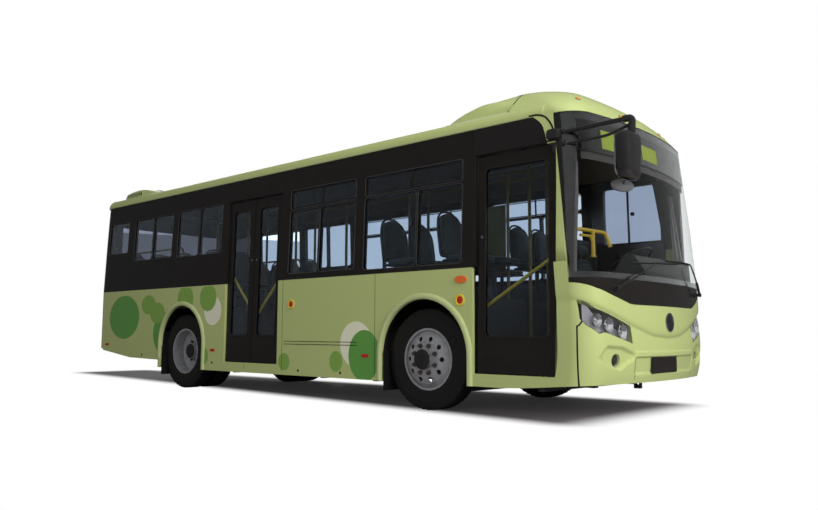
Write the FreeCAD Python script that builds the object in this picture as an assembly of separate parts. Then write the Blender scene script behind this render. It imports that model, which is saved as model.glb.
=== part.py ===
import FreeCAD, Part
import math
import os

# City bus with a low entry, 9R22.5 wheels, two inward-swinging doors on its right side.
# Millimetres. X runs forward, Y to the left, Z up from the ground. The origin lies on
# the ground, half way along the bus with its mirrors.

# Main sizes
body_length = 8460.0
body_width = 2400.0
front_overhang = 1930.0
wheelbase = 4250.0
mirror_reach = 290.0
skirt_height = 260.0
nose_height = 340.0
tail_height = 490.0
belt_height = 1338.0
drip_height = 2635.0
roof_height = 2830.0
side_lean = 50.0
wall = 55.0
panel_joint = 0.5
overrun = 50.0

half_width = body_width / 2
front_face_x = (body_length - mirror_reach) / 2
rear_face_x = front_face_x - body_length
front_axle_x = front_face_x - front_overhang
rear_axle_x = front_axle_x - wheelbase
band = drip_height - belt_height

# Floors
low_floor = 345.0
high_floor = 850.0
rear_platform = 1090.0
floor_plate = 28.0
box_plate = 12.0
step_run = 230.0

# Doors
front_door_front = 1470.0
front_door_width = 837.0
mid_door_front = -2190.0
mid_door_width = 1040.0
door_sill = 375.0
door_head = 2370.0
door_gap = 12.0
leaf_thickness = 30.0
leaf_recess = 20.0
leaf_border = 75.0
leaf_glass_foot = 330.0
leaf_glass_head = 130.0
post_radius = 18.0
post_setback = 45.0
post_depth = 95.0
roller_inset = 30.0
arm_height = 12.0
arm_width = 36.0
arm_lift = 14.0
arm_rise = 8.0
arm_pin_radius = 9.0
arm_web_share = 0.4
running_gap = 0.05
seat_gap = 0.3
grab_radius = 15.0
grab_stand = 62.0
grab_foot_radius = 18.0
glass_thickness = 5.0
glass_recess = 10.0

# Wheels
tyre_radius = 487.0
tyre_width = 229.0
tyre_shoulder = 26.0
tread_width = 180.0
rim_radius = 285.7
rim_lip_radius = 298.5
rim_width = 171.0
rim_plate = 9.0
hub_radius = 120.0
hub_bore_radius = 40.0
nut_circle = 275.0
nut_radius = 17.0
nut_height = 26.0
nut_count = 8
vent_circle = 400.0
vent_radius = 24.0
vent_count = 10
front_wheel_y = 1020.0
outer_twin_y = 1005.0
inner_twin_y = 730.0
bead_clearance = 0.3

# Steering and axles
kingpin_y = 850.0
kingpin_radius = 22.0
kingpin_height = 170.0
yoke_thickness = 36.0
axle_beam_low = 150.0
axle_beam_height = 85.0
axle_beam_width = 110.0
axle_tube_radius = 75.0
diff_radius = 185.0
rail_y = 400.0
rail_width = 70.0
rail_height = 70.0
spring_radius = 95.0

# Arches and wheel boxes
front_arch_radius = 540.0
front_arch_centre = 525.0
rear_arch_radius = 505.0
rear_arch_centre = 585.0
rear_arch_shift = 45.0
arch_lip = 34.0
arch_stand = 12.0
wheel_box_length = 1190.0
wheel_box_y = 590.0
seat_box_y = 300.0
wheel_box_top = 1075.0


def box(x0, x1, y0, y1, z0, z1):
    corner = FreeCAD.Vector(min(x0, x1), min(y0, y1), min(z0, z1))
    return Part.makeBox(abs(x1 - x0), abs(y1 - y0), abs(z1 - z0), corner)


def rod(start, end, radius):
    a, b = FreeCAD.Vector(*start), FreeCAD.Vector(*end)
    return Part.makeCylinder(radius, (b - a).Length, a, b - a)


def prism(points, along, length):
    vectors = [FreeCAD.Vector(*p) for p in points]
    face = Part.Face(Part.makePolygon(vectors + vectors[:1]))
    return face.extrude(FreeCAD.Vector(*along) * length)


def prism_yz(points, x0, x1):
    return prism([(x0, y, z) for y, z in points], (1, 0, 0), x1 - x0)


def prism_xz(points, y0, y1):
    return prism([(x, y0, z) for x, z in points], (0, 1, 0), y1 - y0)


def mirrored(shape):
    return shape.mirror(FreeCAD.Vector(0, 0, 0), FreeCAD.Vector(0, 1, 0))


def both_sides(shape):
    return [shape, mirrored(shape)]


def fused(shapes):
    return shapes[0].multiFuse(shapes[1:]).removeSplitter() if len(shapes) > 1 else shapes[0]


def edges_along(shape, direction):
    return [e for e in shape.Edges if abs(e.tangentAt(e.FirstParameter).dot(direction)) > 0.9]


def rounded_slab(x0, x1, z0, z1, radius, y0, y1):
    slab = box(x0, x1, y0, y1, z0, z1)
    return slab.makeFillet(radius, edges_along(slab, FreeCAD.Vector(0, 1, 0)))


def save(node, shape):
    shape.exportStep("parts/%s.step" % node)


# The outer skin's half width at a height: upright to the belt line, then leaning in.
def side_y(z):
    return half_width - side_lean * max(0.0, z - belt_height) / band


# A slice of the side wall's section, between two depths and two heights.
def wall_slice(x0, x1, z0, z1, depth0=0.0, depth1=wall):
    levels = [z0] + [z for z in (belt_height,) if z0 < z < z1] + [z1]
    outer = [(side_y(z) - depth0, z) for z in levels]
    inner = [(side_y(z) - depth1, z) for z in reversed(levels)]
    return prism_yz(outer + inner, x0, x1)


# Nose of the bus: a wide arc across, two corner arcs, straight sides back to the join.
nose_radius = 4770.0
corner_radius = 240.0
nose_join = 600.0
nose_tip_share = (0.0, 0.06, 0.13, 0.22, 0.32, 0.43, 0.58, 0.79, 1.0)
nose_setback_share = (0.40, 0.133, 0.0, 0.0, 0.04, 0.14, 0.33, 0.66, 1.0)
nose_setback = 150.0
nose_join_x = front_axle_x + nose_join


def plan_outline(z, face_x, join_x, half, corner, arc, inset):
    sign = 1 if face_x > join_x else -1
    face_x, half, corner, arc = face_x - sign * inset, half - inset, corner - inset, arc - inset
    base = face_x - sign * arc
    side = half - corner
    reach = math.sqrt((arc - corner) ** 2 - side ** 2)
    turn = math.atan2(side, reach)
    corner_x = base + sign * reach
    middle = (turn + math.pi / 2) / 2

    def at(x, y):
        return FreeCAD.Vector(x, y, z)

    def corner_point(angle, y_sign):
        x = corner_x + sign * corner * math.cos(angle)
        return at(x, y_sign * (side + corner * math.sin(angle)))

    left = [at(join_x, half), at(corner_x, half), corner_point(turn, 1)]
    right = [at(join_x, -half), at(corner_x, -half), corner_point(turn, -1)]
    edges = [
        Part.LineSegment(left[0], left[1]).toShape(),
        Part.Arc(left[1], corner_point(middle, 1), left[2]).toShape(),
        Part.Arc(left[2], at(face_x, 0), right[2]).toShape(),
        Part.Arc(right[2], corner_point(middle, -1), right[1]).toShape(),
        Part.LineSegment(right[1], right[0]).toShape(),
        Part.LineSegment(right[0], left[0]).toShape(),
    ]
    return Part.Wire(edges)


def nose_solid(inset):
    wires = []
    for rise, setback in zip(nose_tip_share, nose_setback_share):
        z = skirt_height + (drip_height - skirt_height) * rise
        face = front_face_x - nose_setback * setback
        wires.append(plan_outline(z, face, nose_join_x, side_y(z), corner_radius, nose_radius, inset))
    return Part.makeLoft(wires, True, False)


tail_radius = 12000.0
tail_corner = 110.0
tail_join = 185.0
tail_lean = 20.0
tail_join_x = rear_face_x + tail_join
tail_rise_share = (0.0, (belt_height - skirt_height) / (drip_height - skirt_height), 0.70, 0.86, 1.0)
tail_setback_share = (0.0, 0.0, 0.1, 0.4, 1.0)


def tail_solid(inset):
    wires = []
    for rise, setback in zip(tail_rise_share, tail_setback_share):
        z = skirt_height + (drip_height - skirt_height) * rise
        face = rear_face_x + tail_lean * setback
        wires.append(plan_outline(z, face, tail_join_x, side_y(z), tail_corner, tail_radius, inset))
    return Part.makeLoft(wires, True, True)


# Roof section: shoulder arcs up to a low crown.
roof_skin = 45.0
shoulder_share = (0.935, 0.62)
shoulder_middle_share = (0.985, 0.40)
roof_front_x = front_axle_x + 1330.0


def roof_wire(x, edge, rise):
    def at(y, z):
        return FreeCAD.Vector(x, y, z)

    def shoulder(share, sign):
        return at(sign * edge * share[0], drip_height + rise * share[1])

    foot = [at(edge, drip_height), at(-edge, drip_height)]
    left, right = shoulder(shoulder_share, 1), shoulder(shoulder_share, -1)
    edges = [
        Part.Arc(foot[0], shoulder(shoulder_middle_share, 1), left).toShape(),
        Part.Arc(left, at(0, drip_height + rise), right).toShape(),
        Part.Arc(right, shoulder(shoulder_middle_share, -1), foot[1]).toShape(),
        Part.LineSegment(foot[1], foot[0]).toShape(),
    ]
    return Part.Wire(edges)


def roof_solid(inset, x0, x1):
    wire = roof_wire(x0, half_width - side_lean - inset, roof_height - drip_height - inset)
    return Part.Face(wire).extrude(FreeCAD.Vector(x1 - x0, 0, 0))


hatch_x = front_axle_x - 2150.0
hatch_length = 760.0
hatch_width = 640.0
hatch_rim = 40.0
hatch_thickness = 28.0
hatch_overlap = 30.0


def hatch_cut(grow, z0, z1):
    half_l, half_w = hatch_length / 2 + grow, hatch_width / 2 + grow
    return box(hatch_x - half_l, hatch_x + half_l, -half_w, half_w, z0, z1)


# Small hinges: barrel and pin sizes shared by roof hatch and engine door.
hinge_radius = 11.0
hinge_pin_radius = 6.0
hinge_length = 40.0
hatch_hinge_y = 200.0
door_play = 5.0


def hatch_axis():
    x = hatch_x - hatch_length / 2 - hatch_rim - hatch_overlap - hinge_radius - door_play
    return x, roof_height + hatch_rim + seat_gap + hatch_thickness / 2


# Two lugs on the roof and the pin between them.
def roof_hinge():
    x, z = hatch_axis()
    half = hinge_length / 2
    near, far = hatch_hinge_y - half - seat_gap, hatch_hinge_y + half + seat_gap
    shapes = [rod((x, near - half, z), (x, far + half, z), hinge_pin_radius)]
    for y0, y1 in ((near - half, near), (far, far + half)):
        shapes.append(rod((x, y0, z), (x, y1, z), hinge_radius))
        shapes.append(box(x - hinge_radius, x + hinge_radius, y0, y1, drip_height, z))
    return fused(shapes)


# The lid's barrel, on a short leaf from its rear edge.
def hatch_hinge():
    x, z = hatch_axis()
    half = hinge_length / 2
    y0, y1 = hatch_hinge_y - half, hatch_hinge_y + half
    leaf = box(x, x + hinge_radius + door_play + hatch_overlap, y0, y1,
               z - hinge_radius, z + hinge_radius)
    barrel = fused([rod((x, y0, z), (x, y1, z), hinge_radius), leaf])
    return barrel.cut(rod((x, y0, z), (x, y1, z), hinge_pin_radius + running_gap))


def roof():
    skin = roof_solid(0, tail_join_x, roof_front_x)
    skin = skin.cut(roof_solid(roof_skin, tail_join_x - overrun, roof_front_x + overrun))
    curb_top = roof_height + hatch_rim
    curb = hatch_cut(hatch_rim, roof_height - roof_skin, curb_top)
    raised = [part.cut(roof_solid(roof_skin, tail_join_x, roof_front_x))
              for part in [curb] + both_sides(roof_hinge())]
    return fused([skin] + raised).cut(hatch_cut(0, drip_height, curb_top + overrun))


def roof_hatch():
    z0 = roof_height + hatch_rim + seat_gap
    lid = hatch_cut(hatch_rim + hatch_overlap, z0, z0 + hatch_thickness)
    lid = lid.makeFillet(hatch_overlap, edges_along(lid, FreeCAD.Vector(0, 0, 1)))
    return fused([lid] + both_sides(hatch_hinge()))


# Windows of each side as shares: front and rear end over the wheelbase from the front
# axle, sill and head over the band above the belt, divider along and transom up.
window_radius = 35.0
window_bar = 26.0
right_window_shares = (
    (0.1106, -0.1906, 0.040, 0.796, 0.565, 0.78),
    (-0.2235, -0.4753, 0.055, 0.800, 0.47, 0.76),
    (-0.7941, -1.0353, 0.318, 0.801, 0.50, 0.0),
    (-1.0682, -1.3082, 0.333, 0.792, 0.50, 0.0),
    (-1.3529, -1.4850, 0.441, 0.795, 0.0, 0.0),
)
left_window_shares = right_window_shares[:2] + ((-0.5100, -0.7650, 0.055, 0.800, 0.50, 0.76),)
left_window_shares += right_window_shares[2:]


def window_panes(shares):
    front, rear, sill, head, divider, transom = shares
    x1, x0 = front_axle_x + front * wheelbase, front_axle_x + rear * wheelbase
    z0, z1 = belt_height + sill * band, belt_height + head * band
    z_bar = z0 + (z1 - z0) * transom if transom else z1
    x_bar = x0 + (x1 - x0) * divider
    half = window_bar / 2
    panes = []
    if transom:
        panes.append((x0, x1, z_bar + half, z1))
    low_top = z_bar - half if transom else z1
    if divider:
        panes += [(x0, x_bar - half, z0, low_top), (x_bar + half, x1, z0, low_top)]
    else:
        panes.append((x0, x1, z0, low_top))
    return panes


def pane_cut(pane, side, grow=0.0):
    x0, x1, z0, z1 = pane
    y0 = side * (half_width - side_lean - wall - overrun)
    y1 = side * (half_width + overrun)
    return rounded_slab(x0 - grow, x1 + grow, z0 - grow, z1 + grow, window_radius + grow,
                        min(y0, y1), max(y0, y1))


def arch_solid(centre_x, centre_z, radius, y0, y1):
    disc = rod((centre_x, y0, centre_z), (centre_x, y1, centre_z), radius)
    return fused([disc, box(centre_x - radius, centre_x + radius, y0, y1, 0, centre_z)])


arches = (
    (front_axle_x, front_arch_centre, front_arch_radius),
    (rear_axle_x + rear_arch_shift, rear_arch_centre, rear_arch_radius),
)


def side_lower(side):
    skin = wall_slice(tail_join_x, nose_join_x, skirt_height, belt_height)
    y0, y1 = half_width - wall - overrun, half_width + overrun
    for x, z, radius in arches:
        lip = arch_solid(x, z, radius + arch_lip, half_width - wall, half_width + arch_stand)
        lip = lip.common(box(x - body_width, x + body_width, 0, body_width, skirt_height, belt_height))
        skin = fused([skin, lip])
    for x, z, radius in arches:
        skin = skin.cut(arch_solid(x, z, radius, y0, y1))
    tail_ramp = [(tail_join_x - overrun, 0), (tail_ramp_x, 0), (tail_ramp_x, skirt_height),
                 (tail_ramp_x - tail_ramp_step, rear_skirt_height),
                 (tail_join_x - overrun, tail_height)]
    skin = skin.cut(prism_xz(tail_ramp, y0, y1))
    if side > 0:
        return skin
    skin = mirrored(skin)
    for x0, x1 in door_spans():
        skin = skin.cut(box(x0, x1, -y1, -y0, door_sill, belt_height + overrun))
    return skin


tail_ramp_x = rear_axle_x - 560.0
tail_ramp_step = 60.0
rear_skirt_height = 350.0


def door_spans():
    front = front_axle_x + front_door_front
    middle = front_axle_x + mid_door_front
    return [(middle - mid_door_width, middle), (front - front_door_width, front)]


def side_upper(side):
    skin = wall_slice(tail_join_x, nose_join_x, belt_height, drip_height)
    if side < 0:
        skin = mirrored(skin)
    for shares in (left_window_shares if side > 0 else right_window_shares):
        for pane in window_panes(shares):
            skin = skin.cut(pane_cut(pane, side))
    if side < 0:
        y1, y0 = -half_width - overrun, -half_width + side_lean + wall + overrun
        for x0, x1 in door_spans():
            skin = skin.cut(box(x0, x1, y0, y1, belt_height - overrun, door_head))
    return skin


def side_windows():
    panes = []
    for side, table in ((1, left_window_shares), (-1, right_window_shares)):
        sheet = wall_slice(tail_join_x, nose_join_x, belt_height, drip_height,
                           glass_recess, glass_recess + glass_thickness)
        sheet = sheet if side > 0 else mirrored(sheet)
        for shares in table:
            panes += [sheet.common(pane_cut(pane, side)) for pane in window_panes(shares)]
    panes.append(nose_solid(glass_recess).cut(nose_solid(glass_recess + glass_thickness))
                 .common(driver_window_cut()))
    return Part.makeCompound([p.Solids[0] for p in panes])


# Front panels, all cut from the nose's skin.
black_low = 985.0
black_corner = 1180.0
black_flat = 676.0
glass_foot = 1200.0
glass_side_low = 1585.0
glass_side_high = 1500.0
screen_thickness = 8.0
screen_gap = 0.5
frame_skin = 46.0
opening_half_width = 1085.0
opening_foot = 1250.0
opening_head = 2560.0
driver_window_x = 740.0
driver_window_length = 660.0
driver_window_sill = 1730.0


def driver_window_cut():
    x0 = front_axle_x + driver_window_x
    return rounded_slab(x0, x0 + driver_window_length, driver_window_sill, door_head, window_radius,
                        half_width - side_lean - wall - overrun, half_width + overrun)


def front_door_cut():
    x0, x1 = door_spans()[1]
    return box(x0, x1, -half_width - overrun, -half_width + side_lean + wall + overrun,
               door_sill, door_head)


def black_line_cut():
    reach = half_width + overrun
    points = [(-reach, black_corner), (-black_flat, black_low), (black_flat, black_low),
              (reach, black_corner), (reach, drip_height + overrun), (-reach, drip_height + overrun)]
    return prism_yz(points, nose_join_x - overrun, front_face_x + overrun)


# Everything ahead of the line where the screen ends on the sides.
def screen_zone():
    low, high = front_axle_x + glass_side_low, front_axle_x + glass_side_high
    far = front_face_x + overrun
    points = [(low, black_corner), (high, drip_height + overrun), (far, drip_height + overrun),
              (far, black_low - overrun), (low, black_low - overrun)]
    reach = half_width + overrun
    return prism_xz(points, -reach, reach)


def front_skin():
    return nose_solid(0).cut(nose_solid(wall))


def front_mask():
    skin = front_skin().cut(black_line_cut().common(screen_zone()))
    reach = half_width + overrun
    skin = skin.common(box(nose_join_x, front_face_x, -reach, reach, skirt_height, belt_height))
    skin = skin.cut(front_door_cut())
    ramp = [(front_axle_x + nose_ramp_x, skirt_height - overrun), (front_face_x, skirt_height - overrun),
            (front_face_x, nose_height), (front_axle_x + nose_ramp_x, skirt_height)]
    skin = skin.cut(prism_xz(ramp, -reach, reach))
    for pocket in lamp_pockets():
        skin = skin.cut(pocket)
    return max(skin.Solids, key=lambda s: s.Volume)


nose_ramp_x = 900.0


def front_black_panel():
    zone = black_line_cut().common(screen_zone())
    reach = half_width + overrun
    return front_skin().common(zone).common(box(0, front_face_x, -reach, reach, 0, glass_foot))


def windshield():
    reach = half_width + overrun
    skin = nose_solid(0).cut(nose_solid(screen_thickness)).common(screen_zone())
    return skin.common(box(0, front_face_x, -reach, reach, glass_foot, drip_height))


def front_frame():
    reach = half_width + overrun
    above = box(0, front_face_x, -reach, reach, glass_foot, drip_height)
    flanks = box(0, front_face_x, -reach, reach, belt_height, drip_height)
    flanks = front_skin().common(flanks).cut(screen_zone())
    inner = nose_solid(screen_thickness + screen_gap).cut(nose_solid(screen_thickness + frame_skin))
    inner = inner.common(screen_zone()).common(above)
    half = opening_half_width
    inner = inner.cut(box(nose_join_x, front_face_x, -half, half, opening_foot, opening_head))
    frame = fused([flanks, inner]).cut(front_door_cut()).cut(driver_window_cut())
    return frame


# Domed cap over the nose, and the roof pod behind it.
cap_height = 3040.0
cap_join = 950.0
cap_rise_share = (0.0, 0.25, 0.50, 0.72, 0.88, 0.975)
cap_setback = 760.0
cap_setback_share = (0.197, 0.31, 0.45, 0.62, 0.79, 1.0)
cap_half_share = (1.0, 0.964, 0.88, 0.795, 0.70, 0.54)
cap_corner_share = (1.0, 1.1, 1.3, 1.55, 1.8, 1.9)
cap_join_x = front_axle_x + cap_join


def cap_level(index):
    z = drip_height + (cap_height - drip_height) * cap_rise_share[index]
    half = (half_width - side_lean) * cap_half_share[index]
    return z, half


def front_cap():
    wires = []
    for i, setback in enumerate(cap_setback_share):
        z, half = cap_level(i)
        face = front_face_x - cap_setback * setback
        wires.append(plan_outline(z, face, cap_join_x, half, corner_radius * cap_corner_share[i],
                                  nose_radius, 0))
    dome = Part.makeLoft(wires, True, False)
    return dome.cut(roof_solid(0, tail_join_x, roof_front_x))


pod_start = 100.0
pod_stations = 5
pod_nose_share = 0.1


def pod_wire(x, share):
    points = []
    for i in range(len(cap_rise_share)):
        z, half = cap_level(i)
        lift = roof_foot + (z - roof_foot) * share if z > roof_foot else z
        points.append((half, lift))
    corners = [FreeCAD.Vector(x, y, z) for y, z in points]
    corners += [FreeCAD.Vector(x, -y, z) for y, z in reversed(points)]
    return Part.makePolygon(corners + corners[:1])


roof_foot = 2700.0


def roof_pod():
    x0 = front_axle_x + pod_start
    wires = []
    for i in range(pod_stations):
        t = i / (pod_stations - 1)
        share = pod_nose_share + (1 - pod_nose_share) * math.sin(t * math.pi / 2)
        wires.append(pod_wire(x0 + (cap_join_x - x0) * t, share))
    pod = Part.makeLoft(wires, True, True)
    pod = pod.cut(roof_solid(0, tail_join_x, roof_front_x))
    pod = pod.cut(box(x0 - overrun, cap_join_x + overrun, -half_width, half_width, 0, roof_foot))
    return max(pod.Solids, key=lambda s: s.Volume)


vent_front = -5200.0
vent_length = 1080.0
vent_half_width = 960.0
vent_height = 2905.0
vent_slope = 230.0
vent_edge = 60.0


def roof_vent():
    x1 = front_axle_x + vent_front
    x0 = x1 - vent_length
    points = [(x0, roof_foot), (x0 + vent_edge, vent_height), (x0 + vent_slope, vent_height),
              (x1, roof_foot + vent_edge), (x1, roof_foot)]
    hood = prism_xz(points, -vent_half_width, vent_half_width)
    return hood.cut(roof_solid(0, tail_join_x, roof_front_x))


# Head lamps run round the corners; round fog lamps sit below them. Outline as shares of
# the half width and of the belt height.
headlamp_outline_share = (
    (0.985, 0.760), (0.905, 0.705), (0.767, 0.667), (0.575, 0.607), (0.552, 0.492),
    (0.733, 0.532), (0.861, 0.560), (0.904, 0.549), (0.972, 0.606), (0.985, 0.640),
)
headlamp_depth = 50.0
headlamp_recess = 2.0
fog_y = 860.0
fog_height = 515.0
fog_radius = 52.0


def headlamp_prism():
    points = [(half_width * y, belt_height * z) for y, z in headlamp_outline_share]
    return prism_yz(points, front_axle_x + glass_side_high, front_face_x + overrun)


def fog_prism():
    x0 = front_axle_x + glass_side_high
    return rod((x0, fog_y, fog_height), (front_face_x + overrun, fog_y, fog_height), fog_radius)


def lamp_pockets():
    return both_sides(headlamp_prism()) + both_sides(fog_prism())


def lamps_front():
    skin = nose_solid(headlamp_recess).cut(nose_solid(headlamp_depth))
    return Part.makeCompound([skin.common(p).Solids[0] for p in lamp_pockets()])


# Tail: one moulded panel with its cap, a rear window, the engine door and the lamps.
tail_cap_reach_share = (0.0, 0.12, 0.42, 1.0)
tail_cap_rise_share = (0.10, 0.50, 0.86, 1.0)
tail_cap_side_share = (0.85, 0.42, 0.10, 0.0)
rear_window_half = 900.0
rear_window_foot = 1720.0
rear_window_head = 2380.0
engine_door_half = 820.0
engine_door_foot = 585.0
engine_door_head = 1250.0
engine_door_skin = 30.0
rear_lamp_y = 1000.0
rear_lamp_width = 120.0
rear_lamp_foot = 760.0
rear_lamp_height = 420.0


# Rounds the roof off to the tail: roof sections that shrink towards the rear face.
def rear_cap():
    wires = []
    for i, reach in enumerate(tail_cap_reach_share):
        x = rear_face_x + tail_lean + (tail_join - tail_lean) * reach
        half = half_width - side_lean - tail_corner * tail_cap_side_share[i]
        rise = (roof_height - drip_height) * tail_cap_rise_share[i]
        wires.append(roof_wire(x, half, rise))
    return Part.makeLoft(wires, True, False)


def rear_window_zone(grow):
    half = rear_window_half + grow
    slab = box(rear_face_x - overrun, tail_join_x, -half, half,
               rear_window_foot - grow, rear_window_head + grow)
    return slab.makeFillet(window_radius, edges_along(slab, FreeCAD.Vector(1, 0, 0)))


def engine_door_zone(grow):
    half = engine_door_half + grow
    return box(rear_face_x - overrun, rear_face_x + tail_corner, -half, half,
               engine_door_foot - grow, engine_door_head + grow)


def rear_lamp_zones():
    y0 = rear_lamp_y
    zone = box(rear_face_x - overrun, rear_face_x + tail_corner, y0, y0 + rear_lamp_width,
               rear_lamp_foot, rear_lamp_foot + rear_lamp_height)
    return both_sides(zone)


hinge_y = 500.0
hinge_reach = 8.0
hinge_rise = 2.0
hinge_leaf = 40.0


def hinge_barrel(y0, y1, leaf_z):
    x, z = rear_face_x - hinge_reach, engine_door_head + hinge_rise
    barrel = rod((x, y0, z), (x, y1, z), hinge_radius)
    leaf = box(x - hinge_radius, rear_face_x + hinge_leaf, y0, y1, z, leaf_z)
    return fused([barrel, leaf.cut(rod((x, y0, z), (x, y1, z), hinge_radius))])


# The wall's two outer lugs carry a pin; the door's middle barrel turns on it.
def wall_hinge():
    x, z = rear_face_x - hinge_reach, engine_door_head + hinge_rise
    half = hinge_length / 2
    near, far = hinge_y - half - seat_gap, hinge_y + half + seat_gap
    lugs = [hinge_barrel(near - half, near, z + hinge_leaf), hinge_barrel(far, far + half, z + hinge_leaf)]
    return fused(lugs + [rod((x, near - half, z), (x, far + half, z), hinge_pin_radius)])


def door_hinge():
    x, z = rear_face_x - hinge_reach, engine_door_head + hinge_rise
    half = hinge_length / 2
    barrel = hinge_barrel(hinge_y - half, hinge_y + half, z - hinge_leaf)
    return barrel.cut(rod((x, 0, z), (x, half_width, z), hinge_pin_radius + running_gap))


def rear_wall():
    skin = tail_solid(0).cut(tail_solid(wall))
    reach = half_width + overrun
    skin = skin.common(box(rear_face_x - overrun, tail_join_x, -reach, reach, tail_height, drip_height))
    skin = skin.cut(rear_window_zone(0)).cut(engine_door_zone(door_play))
    for zone in rear_lamp_zones():
        skin = skin.cut(zone)
    hinges = [hinge.cut(tail_solid(0)) for hinge in both_sides(wall_hinge())]
    return fused([skin] + hinges)


def rear_window():
    pane = tail_solid(glass_recess).cut(tail_solid(glass_recess + glass_thickness))
    return pane.common(rear_window_zone(0)).Solids[0]


def engine_door():
    skin = tail_solid(0).cut(tail_solid(engine_door_skin)).common(engine_door_zone(0)).Solids[0]
    hinges = [hinge.cut(tail_solid(0)) for hinge in both_sides(door_hinge())]
    return fused([skin] + hinges)


def lamps_rear():
    skin = tail_solid(0).cut(tail_solid(wall))
    return Part.makeCompound([skin.common(zone).Solids[0] for zone in rear_lamp_zones()])


# Floors: the low one with the driver's platform; the step, high floor and platform behind it.
floor_front_x = front_axle_x + 1560.0
riser_x = front_axle_x - 3420.0
platform_x = front_axle_x - 5200.0
step_half_width = 480.0
driver_floor = 620.0
driver_floor_y = 120.0
driver_floor_x = 620.0


# Wheel boxes of an axle: hollow below, closed on the other sides.
def wheel_boxes(plate, axle_x, near_y, foot):
    half, inner = wheel_box_length / 2, half_width - wall
    outer = box(axle_x - half, axle_x + half, near_y, inner, foot, wheel_box_top)
    hollow = box(axle_x - half + box_plate, axle_x + half - box_plate, near_y + box_plate,
                 inner + overrun, 0, wheel_box_top - box_plate)
    plate = fused(plate + both_sides(outer))
    for cut in both_sides(hollow):
        plate = plate.cut(cut)
    return plate


def floor():
    inner = half_width - wall
    low = box(riser_x, floor_front_x, -inner, inner, low_floor - floor_plate, low_floor)
    driver = box(front_axle_x + driver_floor_x, floor_front_x, driver_floor_y, inner,
                 low_floor, driver_floor)
    plate = wheel_boxes([low, driver], front_axle_x, seat_box_y, low_floor - floor_plate)
    return plate.cut(nose_solid(0).cut(nose_solid(wall + seat_gap)))


def floor_rear():
    inner = half_width - wall
    riser = box(riser_x - box_plate, riser_x, -inner, inner, low_floor - floor_plate, high_floor)
    high = box(platform_x, riser_x, -inner, inner, high_floor - floor_plate, high_floor)
    rear_riser = box(platform_x - box_plate, platform_x, -inner, inner,
                     high_floor - floor_plate, rear_platform)
    rear = box(tail_join_x, platform_x, -inner, inner, rear_platform - floor_plate, rear_platform)
    step_rise = (high_floor - low_floor) / 2
    step = box(riser_x, riser_x + step_run, -step_half_width, step_half_width,
               low_floor, low_floor + step_rise)
    return wheel_boxes([riser, high, rear_riser, rear, step], rear_axle_x, wheel_box_y,
                       high_floor - floor_plate)


# Frame: low rails ahead, posts on their rear ends, raised rails on the posts, cross members.
chassis_front_x = front_axle_x + 1400.0
outrigger_share = (0.294, -0.165, -0.353, -0.541)
jack_offsets = (700.0, -3100.0)
outrigger_width = 60.0
upper_cross_share = (-0.8235, -1.212, -1.482)
tow_eye_radius = 24.0
tow_eye_width = 60.0
tow_eye_height = 110.0
tow_eye_reach = 60.0
rear_eye_foot = 365.0
jack_pad_side = 110.0
jack_pad_thickness = 12.0


# A plate with its eye near the foot, hanging from a rail's end.
def tow_eye(x, y, foot, top):
    plate = box(x, x + tow_eye_reach, y - tow_eye_width / 2, y + tow_eye_width / 2, foot, top)
    centre_x, centre_z = x + tow_eye_reach / 2, foot + tow_eye_height / 2
    hole = rod((centre_x, y - tow_eye_width, centre_z), (centre_x, y + tow_eye_width, centre_z),
               tow_eye_radius)
    return plate.cut(hole)


low_rail_top = low_floor - floor_plate
low_rail_foot = low_rail_top - rail_height
high_rail_top = high_floor - floor_plate
high_rail_foot = high_rail_top - rail_height
post_front_x = riser_x - box_plate
post_rear_x = post_front_x - rail_width
high_rail_rear_x = rear_face_x + wall + overrun


# Both rails of a frame section, with its cross members out to the walls.
def ladder(x0, x1, foot, top, offsets):
    half, inner = rail_width / 2, half_width - wall
    shapes = both_sides(box(x0, x1, rail_y - half, rail_y + half, foot, top))
    for offset in offsets:
        x = front_axle_x + offset
        shapes.append(box(x, x + outrigger_width, -inner, inner, foot, top))
    return shapes


def chassis_frame():
    spots = list(jack_offsets) + [share * wheelbase for share in outrigger_share]
    shapes = ladder(post_rear_x, chassis_front_x, low_rail_foot, low_rail_top, spots)
    pad = jack_pad_side / 2
    y = rail_y + rail_width
    for offset in jack_offsets:
        centre = front_axle_x + offset + outrigger_width / 2
        shapes += both_sides(box(centre - pad, centre + pad, y - pad, y + pad,
                                 low_rail_foot - jack_pad_thickness, low_rail_foot))
    shapes.append(tow_eye(chassis_front_x, rail_y, low_rail_top - tow_eye_height, low_rail_top))
    return fused(shapes)


def frame_posts():
    half = rail_width / 2
    post = box(post_rear_x, post_front_x, rail_y - half, rail_y + half, low_rail_top, high_rail_foot)
    return Part.makeCompound(both_sides(post))


def chassis_rear_frame():
    spots = [share * wheelbase for share in upper_cross_share]
    shapes = ladder(high_rail_rear_x, post_front_x, high_rail_foot, high_rail_top, spots)
    shapes.append(tow_eye(high_rail_rear_x, rail_y, rear_eye_foot, high_rail_foot))
    return fused(shapes)


engine_front = -5330.0
engine_length = 900.0
engine_foot = 470.0
engine_height = 590.0


def engine():
    half = rail_y - rail_width / 2
    x1 = front_axle_x + engine_front
    return box(x1 - engine_length, x1, -half, half, engine_foot, engine_foot + engine_height)


# Tyre and rim profiles, revolved about the wheel's axle. Points are (radius, offset).
tyre_sidewall_share = 0.47


def revolve_wheel(edges, y):
    wire = Part.Wire(edges)
    face = Part.Face(wire)
    face.translate(FreeCAD.Vector(0, y, 0))
    return face.revolve(FreeCAD.Vector(0, 0, 0), FreeCAD.Vector(0, 1, 0), 360)


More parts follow.
